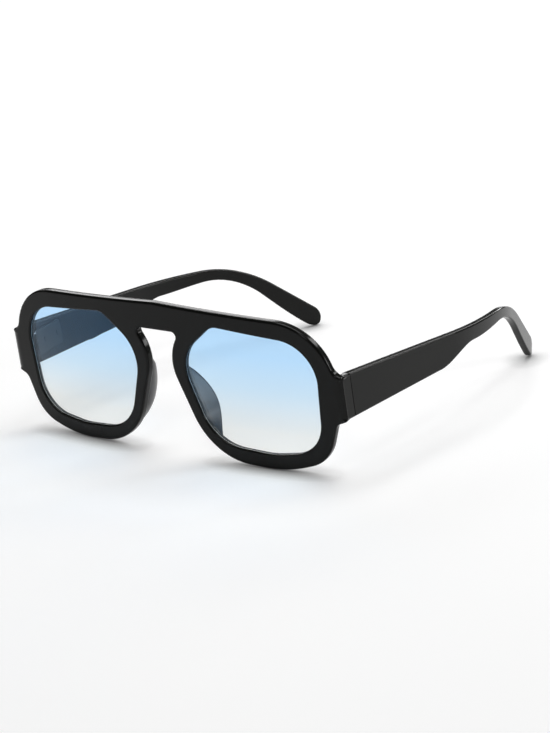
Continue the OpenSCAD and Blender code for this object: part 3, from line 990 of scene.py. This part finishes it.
class Lens:
    """A lens: crowned to the front, thinner at its bevelled edge, which sits in the rim's groove."""

    THICK = 1.8
    CROWN = 0.9
    GAP = 0.1
    RIM_GAP = 0.12
    TONGUE = 1.0
    # a face whose normal has less of Y than this belongs to the ground edge
    SIDEWAYS = 0.93
    SMOOTH = 40.0
    RINGS = (0.02, 0.12, 0.26, 0.4, 0.54, 0.68, 0.8, 0.9, 0.96)

    def __init__(self, front: Front) -> None:
        """Keeps the front whose opening it fills."""
        self.front = front

    def rings(self) -> list[Ring]:
        """Loops from the middle of the front face, over the edge, to the middle of the back."""
        s = self.front.s
        win = self.front.win[::2]
        n = len(win)
        nrm = [outward(win, i) for i in range(n)]
        cx, cy = s.nose_x + s.lens_w / 2, s.top_z - s.lens_h / 2
        mid = s.thick / 2
        face = mid - self.THICK / 2

        def loop(share: float, lift: float) -> Ring:
            """One loop at a share of the way to the edge."""
            drop = lift - self.CROWN * (1 - share * share)
            return [
                s.bend(
                    blend_to(cx, win[i][0] - self.RIM_GAP * nrm[i][0], share),
                    blend_to(cy, win[i][1] - self.RIM_GAP * nrm[i][1], share),
                    drop,
                )
                for i in range(n)
            ]

        def step(reach: float, depth: float) -> Ring:
            """One loop of the tongue that sits in the groove."""
            return [
                s.bend(win[i][0] + reach * nrm[i][0], win[i][1] + reach * nrm[i][1], depth) for i in range(n)
            ]

        half = self.TONGUE / 2
        stops = ((-self.RIM_GAP, mid - half), (s.groove - self.GAP, mid), (-self.RIM_GAP, mid + half))
        ways = [*self.RINGS, 1.0]
        front = [loop(k, face) for k in ways]
        back = [loop(k, face + self.THICK) for k in reversed(ways)]
        return front + [step(*stop) for stop in stops] + back

    def build(self, stand: Stand, side: Side) -> bpy.types.Object:
        """Builds the lens of one side."""
        obj = loft(f"lens_{side.word}_clear", self.rings())
        return finish_piece(obj, stand, side, self.SMOOTH)

    def grind(self, obj: bpy.types.Object, stand: Stand, bare: bpy.types.Material,
              painted_groove_shade: bpy.types.Material) -> None:
        """Finishes the faces round the edge, which look sideways: the ground edge in front of the groove, and
        painted shade, a near-black copy of it, where the edge beds in the groove.

        Args:
            obj: the dressed lens.
            stand: the pose of the whole assembly.
            bare: the finish of the edge in front of the groove.
            painted_groove_shade: the near-black copy of the ground edge, painted shade on the edge that beds
                in the groove.
        """
        obj.data.materials.append(bare)
        obj.data.materials.append(painted_groove_shade)
        flat = stand.matrix().inverted()
        s = self.front.s
        groove = (s.thick - self.TONGUE) / 2
        for face in obj.data.polygons:
            if len(face.vertices) == 4 and abs(face.normal.y) < self.SIDEWAYS:
                place = flat @ face.center
                depth = s.wrap_r - hypot(place.x, s.wrap_r - place.y)
                # faces inside the groove get the near-black copy: painted shade
                face.material_index = 1 if depth < groove else 2


class NosePad:
    """A domed pad on the back of the rim, along the nose."""

    HEIGHT = 7.2
    LEAN = 0.23
    WIDTH = 3.4
    LENGTH = 30.5
    BELOW = 3.0
    GAP = 0.03
    # the corner of the outer outline below which the pad begins
    NECK = 9
    STEPS = 44
    FACETS = 24
    ROOT = 0.35
    EDGE = 0.4
    TAPER = 0.02
    SMOOTH = 50.0

    def __init__(self, front: Front) -> None:
        """Keeps the front that it follows."""
        self.front = front

    def rings(self) -> list[Ring]:
        """Domed sections from its upper end down."""
        s, line = self.front.s, self.front.outer
        top = line.key(self.NECK) - self.BELOW
        rings: list[Ring] = []
        for i in range(self.STEPS + 1):
            t = 0.5 - 0.5 * cos(pi * i / self.STEPS)
            d = top - self.LENGTH * t
            p, a, b = line.at(d), line.at(d - 0.5), line.at(d + 0.5)
            nx, ny = unit(-(b[1] - a[1]), b[0] - a[0])
            g = max(self.TAPER, sin(pi * blend_to(self.TAPER, 1 - self.TAPER, t) ** 1.05))
            h = self.ROOT + self.HEIGHT * g ** blend_to(0.7, 1.1, t)
            w = self.WIDTH / 2 * blend_to(self.ROOT, 1.0, g**0.5)
            reach = self.WIDTH / 2 + self.EDGE
            ring: Ring = []
            for k in range(self.FACETS + 1):
                c = pi * k / self.FACETS
                lat = w * cos(c) - self.LEAN * h * sin(c) ** 2 - reach
                ring.append(s.bend(p[0] + nx * lat, p[1] + ny * lat, s.thick + self.GAP + h * sin(c)))
            rings.append(ring)
        return rings

    def build(self, stand: Stand, side: Side) -> bpy.types.Object:
        """Builds the pad of one side."""
        obj = loft(f"nose_pad_{side.word}_satin", self.rings())
        return finish_piece(obj, stand, side, self.SMOOTH)


# Temples


@dataclass
class TempleSizes:
    """Sizes of a temple, in mm and degrees, measured from the seam."""

    length: float = 135.0
    h_seam: float = 15.3
    h_mid: float = 11.2
    step_at: float = 50.0
    step_len: float = 21.0
    h_slim: float = 5.4
    h_bend: float = 3.8
    h_tip: float = 7.0
    tip_round: float = 5.5
    thick: float = 3.0
    tip_thick: float = 2.5
    edge_r: float = 0.6
    drop: float = 8.3
    tip_drop: float = 41.5
    bend_at: float = 90.0
    bend_r: float = 56.0
    splay: float = 0.0
    tip_splay: float = 24.0
    curve_at: float = 57.5
    curve_r: float = 117.0
    seam_gap: float = 0.06
    seam_edge: float = 0.12
    slim_past: float = 8.0
    even_len: float = 10.0
    tip_up: float = 0.62
    tip_cut: float = 0.95
    tip_thin: float = 0.6


@dataclass(frozen=True)
class Bend:
    """A line that runs straight, turns on one arc and runs straight again, in mm and degrees."""

    straight: float
    radius: float
    lean: float
    end_lean: float

    @property
    def arc(self) -> float:
        """Length of the arc."""
        return self.radius * radians(self.end_lean - self.lean)

    def heading(self, way: float) -> float:
        """Lean in radians at a way along the line."""
        if way < self.straight:
            return radians(self.lean)
        return radians(min(self.end_lean, self.lean + degrees((way - self.straight) / self.radius)))

    def at(self, way: float) -> Flat:
        """How far forward and how far aside the line has come at a way along it."""
        a, c = min(way, self.straight), max(0.0, way - self.straight - self.arc)
        lean, here, end = radians(self.lean), self.heading(way), radians(self.end_lean)
        forward = a * cos(lean) + self.radius * (sin(here) - sin(lean)) + c * cos(end)
        return forward, -a * sin(lean) + self.radius * (cos(here) - cos(lean)) - c * sin(end)


class Temple:
    """A wide temple that steps down to a slim ear bend and ends in a paddle tip."""

    # places of the first two sections in mm, then how many each stretch and the tip have
    FIRST = (1.5, 3.0)
    SECTIONS = (14, 22, 8, 26, 14)
    TIP_SECTIONS = 12
    SMOOTH = 30.0

    def __init__(self, front: FrontSizes, sizes: TempleSizes) -> None:
        """Works out the bends from the sizes."""
        self.f, self.t = front, sizes
        t = sizes
        self.down = Bend(t.bend_at / cos(radians(t.drop)), t.bend_r, t.drop, t.tip_drop)
        self.inward = Bend(t.curve_at, t.curve_r, t.splay, t.tip_splay)
        rest = t.length - t.bend_at - t.bend_r * (sin(radians(t.tip_drop)) - sin(radians(t.drop)))
        self.bend_end = self.down.straight + self.down.arc
        self.edge_len = self.bend_end + rest / cos(radians(t.tip_drop))

    def plan(self, run: float) -> Flat:
        """Place of the temple's middle line seen from above, at a run from the seam."""
        forward, aside = self.inward.at(run)
        return self.f.temple_x + aside, self.f.seam_y + self.t.seam_gap + forward

    def height(self, d: float) -> float:
        """Height of the temple at a distance along its top edge."""
        t = self.t
        e2, e3 = t.step_at + t.step_len, self.down.straight + t.slim_past
        if d < t.step_at:
            return blend_to(t.h_seam, t.h_mid, d / t.step_at)
        if d < e2:
            return blend_to(t.h_mid, t.h_slim, ease((d - t.step_at) / t.step_len))
        if d < e3:
            return blend_to(t.h_slim, t.h_bend, ease((d - e2) / (e3 - e2)))
        return blend_to(t.h_bend, t.h_tip, ease((d - e3) / (self.edge_len - e3)))

    def thick(self, d: float) -> float:
        """Thickness of the temple at a distance along its top edge."""
        even = self.t.even_len
        return blend_to(self.t.thick, self.t.tip_thick, ease((d - even) / (self.edge_len - even)))

    def ring(self, d: float, trims: Flat = (0.0, 0.0), thick: float | None = None, cut: bool = False,
             inset: float = 0.0) -> Ring:
        """One section of the temple.

        Args:
            d: the distance along the top edge.
            trims: what is taken off above and below.
            thick: a thickness of its own, on the rounded tip.
            cut: whether it is the flat end at the seam.
            inset: what the section shrinks by all round, for the bevel at the seam.

        Returns:
            The section's points.
        """
        run, fall = self.down.at(d)
        g = self.down.heading(d)
        th = (self.thick(d) if thick is None else thick) - 2 * inset
        shift = (self.t.thick - self.thick(d)) / 2
        part = rounded_section(self.height(d) - sum(trims) - 2 * inset, th, max(0.05, self.t.edge_r - inset))
        points: Ring = []
        for q, b in part:
            q += trims[0] + inset
            if cut:
                x, y = self.plan(0.0)
                points.append((x + b, y, -self.f.lug_top - q))
                continue
            r, z = run - q * sin(g), -self.f.lug_top + fall - q * cos(g)
            x, y = self.plan(r)
            h = self.inward.heading(r)
            points.append((x + (b + shift) * cos(h), y + (b + shift) * sin(h), z))
        return points

    def stations(self) -> list[float]:
        """Distances along the top edge, close together where the temple changes."""
        t, marks = self.t, list(self.FIRST)
        stops = [marks[-1], t.step_at, t.step_at + t.step_len]
        stops += [self.down.straight, self.bend_end, self.edge_len]
        for (a, b), n in zip(zip(stops, stops[1:]), self.SECTIONS):
            marks += [a + (b - a) * i / n for i in range(1, n + 1)]
        return marks

    def rings(self) -> list[Ring]:
        """All sections from the seam to the rounded tip."""
        t = self.t
        start = self.ring(0.0, cut=True, inset=t.seam_edge)
        lead = [(x, y + t.seam_edge, z) for x, y, z in self.ring(0.0, cut=True)]
        rings = [start, lead] + [self.ring(d) for d in self.stations()]
        for k in range(1, self.TIP_SECTIONS + 1):
            f = sin(pi / 2 * k / self.TIP_SECTIONS)
            g = 1 - sqrt(1 - t.tip_cut * f * f)
            trims = (t.h_tip * t.tip_up * g, t.h_tip * (1 - t.tip_up) * g)
            thick = t.tip_thick * (1 - t.tip_thin * g)
            rings.append(self.ring(self.edge_len + t.tip_round * f, trims, thick))
        return rings

    def build(self, stand: Stand, side: Side, hinge: "Hinge") -> bpy.types.Object:
        """Builds the temple of one side with the seat of its hinge leaf."""
        obj = loft(f"temple_{side.word}_gloss", self.rings())
        cut(obj, *hinge.temple_seats())
        return finish_piece(obj, stand, side, self.SMOOTH)


# Hinges


@dataclass
class Hinge:
    """A five-knuckle barrel hinge with two screwed leaves, in mm."""

    front: FrontSizes
    knuckle_r: float = 1.35
    knuckle_h: float = 1.7
    knuckle_gap: float = 0.08
    pivot_r: float = 0.7
    pivot_gap: float = 0.03
    leaf_th: float = 0.9
    leaf_len: float = 12.5
    screw_r: float = 0.6
    screw_len: float = 2.2
    fit_gap: float = 0.02
    pivot_in: float = 1.5
    pivot_back: float = 0.5
    seat_depth: float = 0.35
    leaf_end: float = 2.6
    # from the opening and from the temple
    leaf_gaps: Flat = (0.75, 0.1)
    # beside the pivot and behind it
    leaf_clear: Flat = (0.6, 1.85)
    leaf_edge: float = 0.12
    knuckle_edge: float = 0.1
    web_w: float = 1.1
    web_off: float = 0.25
    web_in: float = 0.5
    web_edge: float = 0.05
    # how far the cutters of the seats reach out of the front and out of the temple
    seat_open: Flat = (3.0, 2.0)
    # the temple leaf's screws, from its near end and from its far end
    screw_ends: Flat = (4.0, 2.2)
    head_out: float = 0.4
    head_h: float = 0.4
    hole_over: float = 0.3
    slot_w: float = 0.26
    slot_len: float = 2.4
    slot_depth: float = 0.18
    pivot_edge: float = 0.08
    pan_out: float = 0.45
    pan_h: float = 0.7
    pan_edge: float = 0.15
    pan_slot_w: float = 0.3
    pan_slot_at: float = 0.45

    FRONT_KNUCKLES = (0, 2, 4)
    TEMPLE_KNUCKLES = (1, 3)
    AROUND = 32
    SEAT_AROUND = 24
    SMOOTH = 30.0

    @property
    def middle(self) -> float:
        """Height of the hinge's middle."""
        return -self.front.lug_top - self.front.temple_h / 2

    @property
    def axis(self) -> Flat:
        """Place of the pivot seen from above."""
        return self.front.temple_in - self.pivot_in, self.front.seam_y + self.pivot_back

    @property
    def stack(self) -> float:
        """Height of all knuckles."""
        return 5 * self.knuckle_h + 4 * self.knuckle_gap

    @property
    def pivot(self) -> Point:
        """Middle of the pivot."""
        return (*self.axis, self.middle)

    @property
    def seat_y(self) -> float:
        """Depth of the front leaf's seat."""
        return self.front.bend(self.front.outer_x, 0, self.front.thick)[1] - self.seat_depth

    @property
    def leaf_x(self) -> Flat:
        """Both sides of the front leaf."""
        return self.front.outer_x + self.leaf_gaps[0], self.front.temple_in - self.leaf_gaps[1]

    @property
    def leaf_half(self) -> float:
        """Half of the front leaf's height."""
        return self.stack / 2 + self.leaf_end

    @property
    def screws_front(self) -> list[Point]:
        """Heads of the two screws in the front leaf."""
        x = sum(self.leaf_x) / 2
        reach = self.leaf_half - self.leaf_end / 2
        return [(x, self.seat_y + self.leaf_th, self.middle + k * reach) for k in (-1, 1)]

    @property
    def temple_leaf_low(self) -> Flat:
        """Nearest corner of the temple leaf seen from above."""
        return self.axis[0] + self.leaf_clear[0], self.axis[1] + self.leaf_clear[1]

    @property
    def screws_temple(self) -> list[Point]:
        """Heads of the two screws in the temple leaf."""
        x, y = self.temple_leaf_low
        near, far = self.screw_ends
        return [(x, y + k, self.middle) for k in (near, self.leaf_len - far)]

    def knuckle_z(self, k: int) -> float:
        """Foot of knuckle k."""
        return self.middle - self.stack / 2 + k * (self.knuckle_h + self.knuckle_gap)

    def seats(self) -> list[bpy.types.Object]:
        """Cutters for the front leaf's seat and its screws."""
        a, b = self.leaf_x
        g = self.fit_gap
        low = (a - g, self.seat_y, self.middle - self.leaf_half - g)
        high = (b + g, self.seat_y + self.seat_open[0], self.middle + self.leaf_half + g)
        feet = [(x, y - self.screw_len - g, z) for x, y, z in self.screws_front]
        return [block("seat", low, high)] + [self.screw_seat(foot, Lie.BACK) for foot in feet]

    def temple_seats(self) -> list[bpy.types.Object]:
        """Cutters for the temple leaf's seat and its screws."""
        x, y = self.temple_leaf_low
        g = self.fit_gap
        low = (x - self.seat_open[1], y - g, self.middle - self.stack / 2 - g)
        high = (x + self.leaf_th + g, y + self.leaf_len + g, self.middle + self.stack / 2 + g)
        feet = [(x + self.screw_len + g, y, z) for x, y, z in self.screws_temple]
        return [block("seat", low, high)] + [self.screw_seat(foot, Lie.INWARD) for foot in feet]

    def screw_seat(self, foot: Point, lie: Lie) -> bpy.types.Object:
        """The cutter for the blind hole of one screw."""
        reach = self.screw_r + self.fit_gap
        return rod("seat_screw", foot, self.screw_len, reach, around=self.SEAT_AROUND, lie=lie)

    def screw_shape(self, head: Point, lie: Lie, extra: float = 0.0) -> bpy.types.Object:
        """A slotted countersunk screw with its head's face at ``head``, or the cutter for its hole.

        Args:
            head: the middle of the head's face.
            lie: the direction from the tip to the head.
            extra: what the hole is larger by all round, or 0 for the screw.

        Returns:
            The screw or the cutter.
        """
        top, r, head_r = Vector(head), self.screw_r + extra, self.screw_r + self.head_out + extra
        shank = self.screw_len - self.head_h / 2
        body = rod("screw", tuple(top - lie.way * self.screw_len), shank, r, around=self.AROUND, lie=lie)
        deselect()
        bpy.ops.mesh.primitive_cone_add(
            vertices=self.AROUND, radius1=r, radius2=head_r, depth=self.head_h,
            location=top - lie.way * self.head_h / 2, rotation=lie.turn,
        )
        cone = bpy.context.object
        bpy.ops.object.transform_apply(location=True, rotation=True, scale=True)
        weld(body, cone)
        if extra:
            weld(body, rod("mouth", head, self.hole_over, head_r, around=self.AROUND, lie=lie))
            return body
        long, wide = self.slot_len / 2, self.slot_w / 2
        half = Vector((long, 0, wide) if lie is Lie.BACK else (0, wide, long))
        ends = top - lie.way * self.slot_depth - half, top + lie.way * self.hole_over + half
        low, high = (tuple(map(choose, *ends)) for choose in (min, max))
        cut(body, block("slot", low, high))
        return body

    def leaf(self, plate: bpy.types.Object, web: tuple[Flat, Flat], picks: Sequence[int],
             screws: Sequence[Point], lie: Lie) -> None:
        """Welds webs and knuckles to a leaf's plate, and bores it for the pivot and its screws.

        Args:
            plate: the plate.
            web: two corners of the webs seen from above.
            picks: the numbers of its knuckles, counted from below.
            screws: the heads of its screws.
            lie: the direction from the screws' tips to their heads.
        """
        for k in picks:
            z = self.knuckle_z(k) + self.fit_gap
            top = z + self.knuckle_h - 2 * self.fit_gap
            weld(plate, block("web", (*web[0], z), (*web[1], top), self.web_edge))
        for k in picks:
            foot = (*self.axis, self.knuckle_z(k))
            weld(plate, rod(f"knuckle_{k}", foot, self.knuckle_h, self.knuckle_r, self.knuckle_edge))
        foot = (*self.axis, self.middle - self.stack)
        cut(plate, rod("bore", foot, 2 * self.stack, self.pivot_r + self.pivot_gap))
        cut(plate, *[self.screw_shape(head, lie, self.fit_gap) for head in screws])

    def front_leaf(self, stand: Stand, side: Side) -> bpy.types.Object:
        """The leaf on the front with its three knuckles."""
        a, b = self.leaf_x
        low = (a, self.seat_y + self.fit_gap, self.middle - self.leaf_half)
        high = (b, self.seat_y + self.leaf_th, self.middle + self.leaf_half)
        plate = block("leaf", low, high, self.leaf_edge)
        near = (self.axis[0] - self.knuckle_r + self.fit_gap, self.seat_y + self.web_in)
        web = near, (near[0] + self.web_w, self.axis[1])
        self.leaf(plate, web, self.FRONT_KNUCKLES, self.screws_front, Lie.BACK)
        plate.name = f"hinge_front_leaf_{side.word}"
        return finish_piece(plate, stand, side, self.SMOOTH)

    def temple_leaf(self, stand: Stand, side: Side) -> bpy.types.Object:
        """The long leaf on the temple with its two knuckles."""
        x, y = self.temple_leaf_low
        ax, ay = self.axis
        half = self.stack / 2
        high = (x + self.leaf_th, y + self.leaf_len, self.middle + half)
        plate = block("leaf", (x, y, self.middle - half), high, self.leaf_edge)
        web = (ax + self.web_off, ay), (ax + self.knuckle_r - self.fit_gap, y + self.web_in)
        self.leaf(plate, web, self.TEMPLE_KNUCKLES, self.screws_temple, Lie.INWARD)
        plate.name = f"hinge_temple_leaf_{side.word}"
        return finish_piece(plate, stand, side, self.SMOOTH)

    def leaf_screws(self, stand: Stand, side: Side, on_temple: bool) -> bpy.types.Object:
        """The two screws of one leaf."""
        heads, lie = (self.screws_temple, Lie.INWARD) if on_temple else (self.screws_front, Lie.BACK)
        word = "temple" if on_temple else "front"
        obj = together(f"screws_{word}_{side.word}", [self.screw_shape(head, lie) for head in heads])
        return finish_piece(obj, stand, side, self.SMOOTH)

    def pivot_screw(self, stand: Stand, side: Side) -> bpy.types.Object:
        """The pivot with its slotted pan head."""
        x, y = self.axis
        top = self.middle + self.stack / 2
        foot, head_r = (x, y, top - self.stack), self.pivot_r + self.pan_out
        body = rod("pivot", foot, self.stack + self.hole_over, self.pivot_r, self.pivot_edge)
        weld(body, rod("pivot_head", (x, y, top + self.fit_gap), self.pan_h, head_r, self.pan_edge))
        wide, reach = self.pan_slot_w / 2, 2 * head_r
        low = (x - reach, y - wide, top + self.pan_slot_at)
        cut(body, block("slot", low, (x + reach, y + wide, top + 2 * self.pan_h)))
        body.name = f"hinge_pivot_{side.word}"
        return finish_piece(body, stand, side, self.SMOOTH)


# Studio


@dataclass(frozen=True)
class Lamp:
    """One soft studio lamp."""

    name: str
    place: Point
    aim: Point
    size: Flat
    watts: float


@dataclass
class Studio:
    """A white floor, a white surround and soft lamps."""

    floor_glow: float = 0.42
    floor_tone: float = 0.64
    surround: float = 0.70
    # painted contact shadow on the floor: its reach in metres, how sharply it falls off, and the share of
    # colour and glow left at its darkest
    painted_shadow: float = 0.009
    painted_shadow_power: float = 1.3
    painted_shadow_darkest: float = 0.12
    lamps: tuple[Lamp, ...] = (
        Lamp("top", (-0.08, 0.34, 1.26), (0.0, -0.02, 0.0), (0.9, 0.9), 11.0),
        Lamp("rear", (-1.02, 1.14, 0.76), (0.0, -0.05, 0.05), (1.5, 0.36), 8.0),
        Lamp("edge", (0.45, 1.15, 0.95), (0.05, 0.0, 0.03), (0.30, 0.30), 2.2),
        Lamp("low", (-0.20, 1.30, 0.36), (0.02, -0.03, 0.03), (0.50, 0.14), 2.2),
        Lamp("side", (0.95, 0.72, 0.36), (0.02, -0.06, 0.02), (0.60, 0.26), 4.6),
        Lamp("front", (0.55, -0.95, 1.05), (0.0, -0.05, 0.03), (0.26, 0.26), 2.2),
    )

    def floor(self) -> None:
        """A wide pale floor that keeps the object's shadow, with a painted contact shadow: an occlusion mask
        darkens its colour and its glow near the object.
        """
        deselect()
        bpy.ops.mesh.primitive_plane_add(size=8.0, location=(0, 0, -0.0003))
        obj = bpy.context.object
        obj.name = "studio_floor"
        mat = bpy.data.materials.new("studio_floor")
        mat.use_nodes = True
        mat.node_tree.nodes.clear()
        n = Nodes(mat.node_tree)
        out = n.node("ShaderNodeOutputMaterial")
        # painted contact shadow: occlusion near the object darkens the floor's colour and its glow
        painted_shadow = n.node("ShaderNodeAmbientOcclusion", Distance=self.painted_shadow)
        deepen = n.node("ShaderNodeMath", operation="POWER")
        deepen.inputs[1].default_value = self.painted_shadow_power
        n.link(painted_shadow, "AO", deepen, 0)
        diffuse = n.node("ShaderNodeBsdfDiffuse")
        shade = n.spread(deepen, 0, self.painted_shadow_darkest * self.floor_tone, self.floor_tone)
        n.link(shade, "Result", diffuse, "Color")
        glow = n.node("ShaderNodeEmission", Color=(1, 1, 1, 1))
        dim = n.spread(deepen, 0, self.painted_shadow_darkest * self.floor_glow, self.floor_glow)
        level = n.node("ShaderNodeMath", operation="MULTIPLY")
        n.link(n.looked_at(), 0, level, 0)
        n.link(dim, "Result", level, 1)
        n.link(level, 0, glow, "Strength")
        add = n.node("ShaderNodeAddShader")
        n.link(diffuse, 0, add, 0)
        n.link(glow, 0, add, 1)
        n.link(add, 0, out, "Surface")
        obj.data.materials.append(mat)

    def sky(self) -> None:
        """An even surround, white where the camera, a mirror or a lens looks at it."""
        world = bpy.data.worlds.new("studio")
        bpy.context.scene.world = world
        world.use_nodes = True
        n = Nodes(world.node_tree)
        level = n.spread(n.looked_at(), 0, self.surround, 1.0)
        n.link(level, "Result", n.tree.nodes["Background"], "Strength")

    def light(self) -> None:
        """Hangs the lamps."""
        for lamp in self.lamps:
            data = bpy.data.lights.new(lamp.name, "AREA")
            data.shape = "RECTANGLE"
            data.size, data.size_y = lamp.size
            data.energy = lamp.watts
            obj = bpy.data.objects.new(lamp.name, data)
            bpy.context.scene.collection.objects.link(obj)
            obj.location = lamp.place
            way = Vector(lamp.aim) - Vector(lamp.place)
            obj.rotation_euler = way.to_track_quat("-Z", "Y").to_euler()
            obj.visible_camera = False


@dataclass
class Photographer:
    """The camera, placed by its aim, distance and angles, in metres and degrees."""

    aim: Point
    distance: float
    azimuth: float
    elevation: float
    roll: float
    lens: float

    def shoot(self) -> None:
        """Sets up the scene's camera."""
        a, e, r = radians(self.azimuth), radians(self.elevation), radians(self.roll)
        back = Vector((sin(a) * cos(e), -cos(a) * cos(e), sin(e)))
        right = Vector((cos(a), sin(a), 0))
        up = back.cross(right)
        across = cos(r) * right + sin(r) * up
        upright = -sin(r) * right + cos(r) * up
        data = bpy.data.cameras.new("camera")
        data.sensor_fit = "HORIZONTAL"
        data.sensor_width = 36.0
        data.lens = self.lens
        data.clip_end = 50.0
        obj = bpy.data.objects.new("camera", data)
        bpy.context.scene.collection.objects.link(obj)
        turn = Matrix((across, upright, back)).transposed().to_4x4()
        obj.matrix_world = Matrix.Translation(Vector(self.aim) + back * self.distance) @ turn
        bpy.context.scene.camera = obj


# Assembly


@dataclass
class Dress:
    """Gives finished pieces their body and the material of their slot, and hides the nodes that they stand
    for.
    """

    materials: dict[str, bpy.types.Material]

    def piece(self, obj: bpy.types.Object, body: str, slot: str, *nodes: str) -> bpy.types.Object:
        """Dresses one piece.

        Args:
            obj: the finished piece.
            body: the body that it rides on.
            slot: the record's material slot.
            nodes: the nodes that it stands for.

        Returns:
            The same object.
        """
        obj.data.materials.clear()
        obj.data.materials.append(self.materials[slot])
        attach(obj, body)
        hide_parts(*nodes)
        LOG.info("%s: %d faces, on %s", obj.name, len(obj.data.polygons), body)
        return obj


def main() -> None:
    """Builds and dresses the sunglasses, then sets up the studio."""
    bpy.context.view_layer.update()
    bpy.context.scene.view_settings.view_transform = "Standard"
    sizes = FrontSizes()
    hinge = Hinge(sizes)
    stand = Stand.from_hinge(hinge.pivot)
    front = Front(sizes)
    dress = Dress({
        "frame_black": GlossPlastic().material(),
        "lens_tint": TintedLens().material(),
        "pad_dark": SatinPad().material(),
        "hinge_black": BlackenedSteel().material(),
        "screw_steel": Steel().material(),
    })
    dress.piece(front.build(stand, hinge), "front", "frame_black", "front_frame")
    glass, pad, temple = Lens(front), NosePad(front), Temple(sizes, TempleSizes())
    ground = GroundEdge().material()
    # a near-black copy of the ground edge, painted shade for the edge inside the groove
    painted_groove_shade = GroundEdge("lens_edge_painted_shade", (0.004, 0.004, 0.004), (0.008, 0.008, 0.008)).material()
    for side in Side:
        w = side.word
        arm = f"temple_{w}"
        lens = dress.piece(glass.build(stand, side), "front", "lens_tint", f"lens_{w}")
        glass.grind(lens, stand, ground, painted_groove_shade)
        dress.piece(pad.build(stand, side), "front", "pad_dark", f"nose_pad_{w}")
        dress.piece(temple.build(stand, side, hinge), arm, "frame_black", arm)
        dress.piece(hinge.front_leaf(stand, side), "front", "hinge_black", f"front_hinge_leaf_{w}")
        dress.piece(hinge.temple_leaf(stand, side), arm, "hinge_black", f"temple_hinge_leaf_{w}")
        dress.piece(hinge.leaf_screws(stand, side, False), "front", "hinge_black", f"front_leaf_screws_{w}")
        dress.piece(hinge.leaf_screws(stand, side, True), arm, "hinge_black", f"temple_leaf_screws_{w}")
        dress.piece(hinge.pivot_screw(stand, side), "front", "screw_steel", f"hinge_screw_{w}")
    studio = Studio()
    studio.floor()
    studio.sky()
    studio.light()
    Photographer(
        aim=(0.0330277, -0.0527791, 0.0303232), distance=1.076941, azimuth=39.5096, elevation=17.0355,
        roll=-4.8529, lens=211.3367,
    ).shoot()


if __name__ == "__main__":
    main()
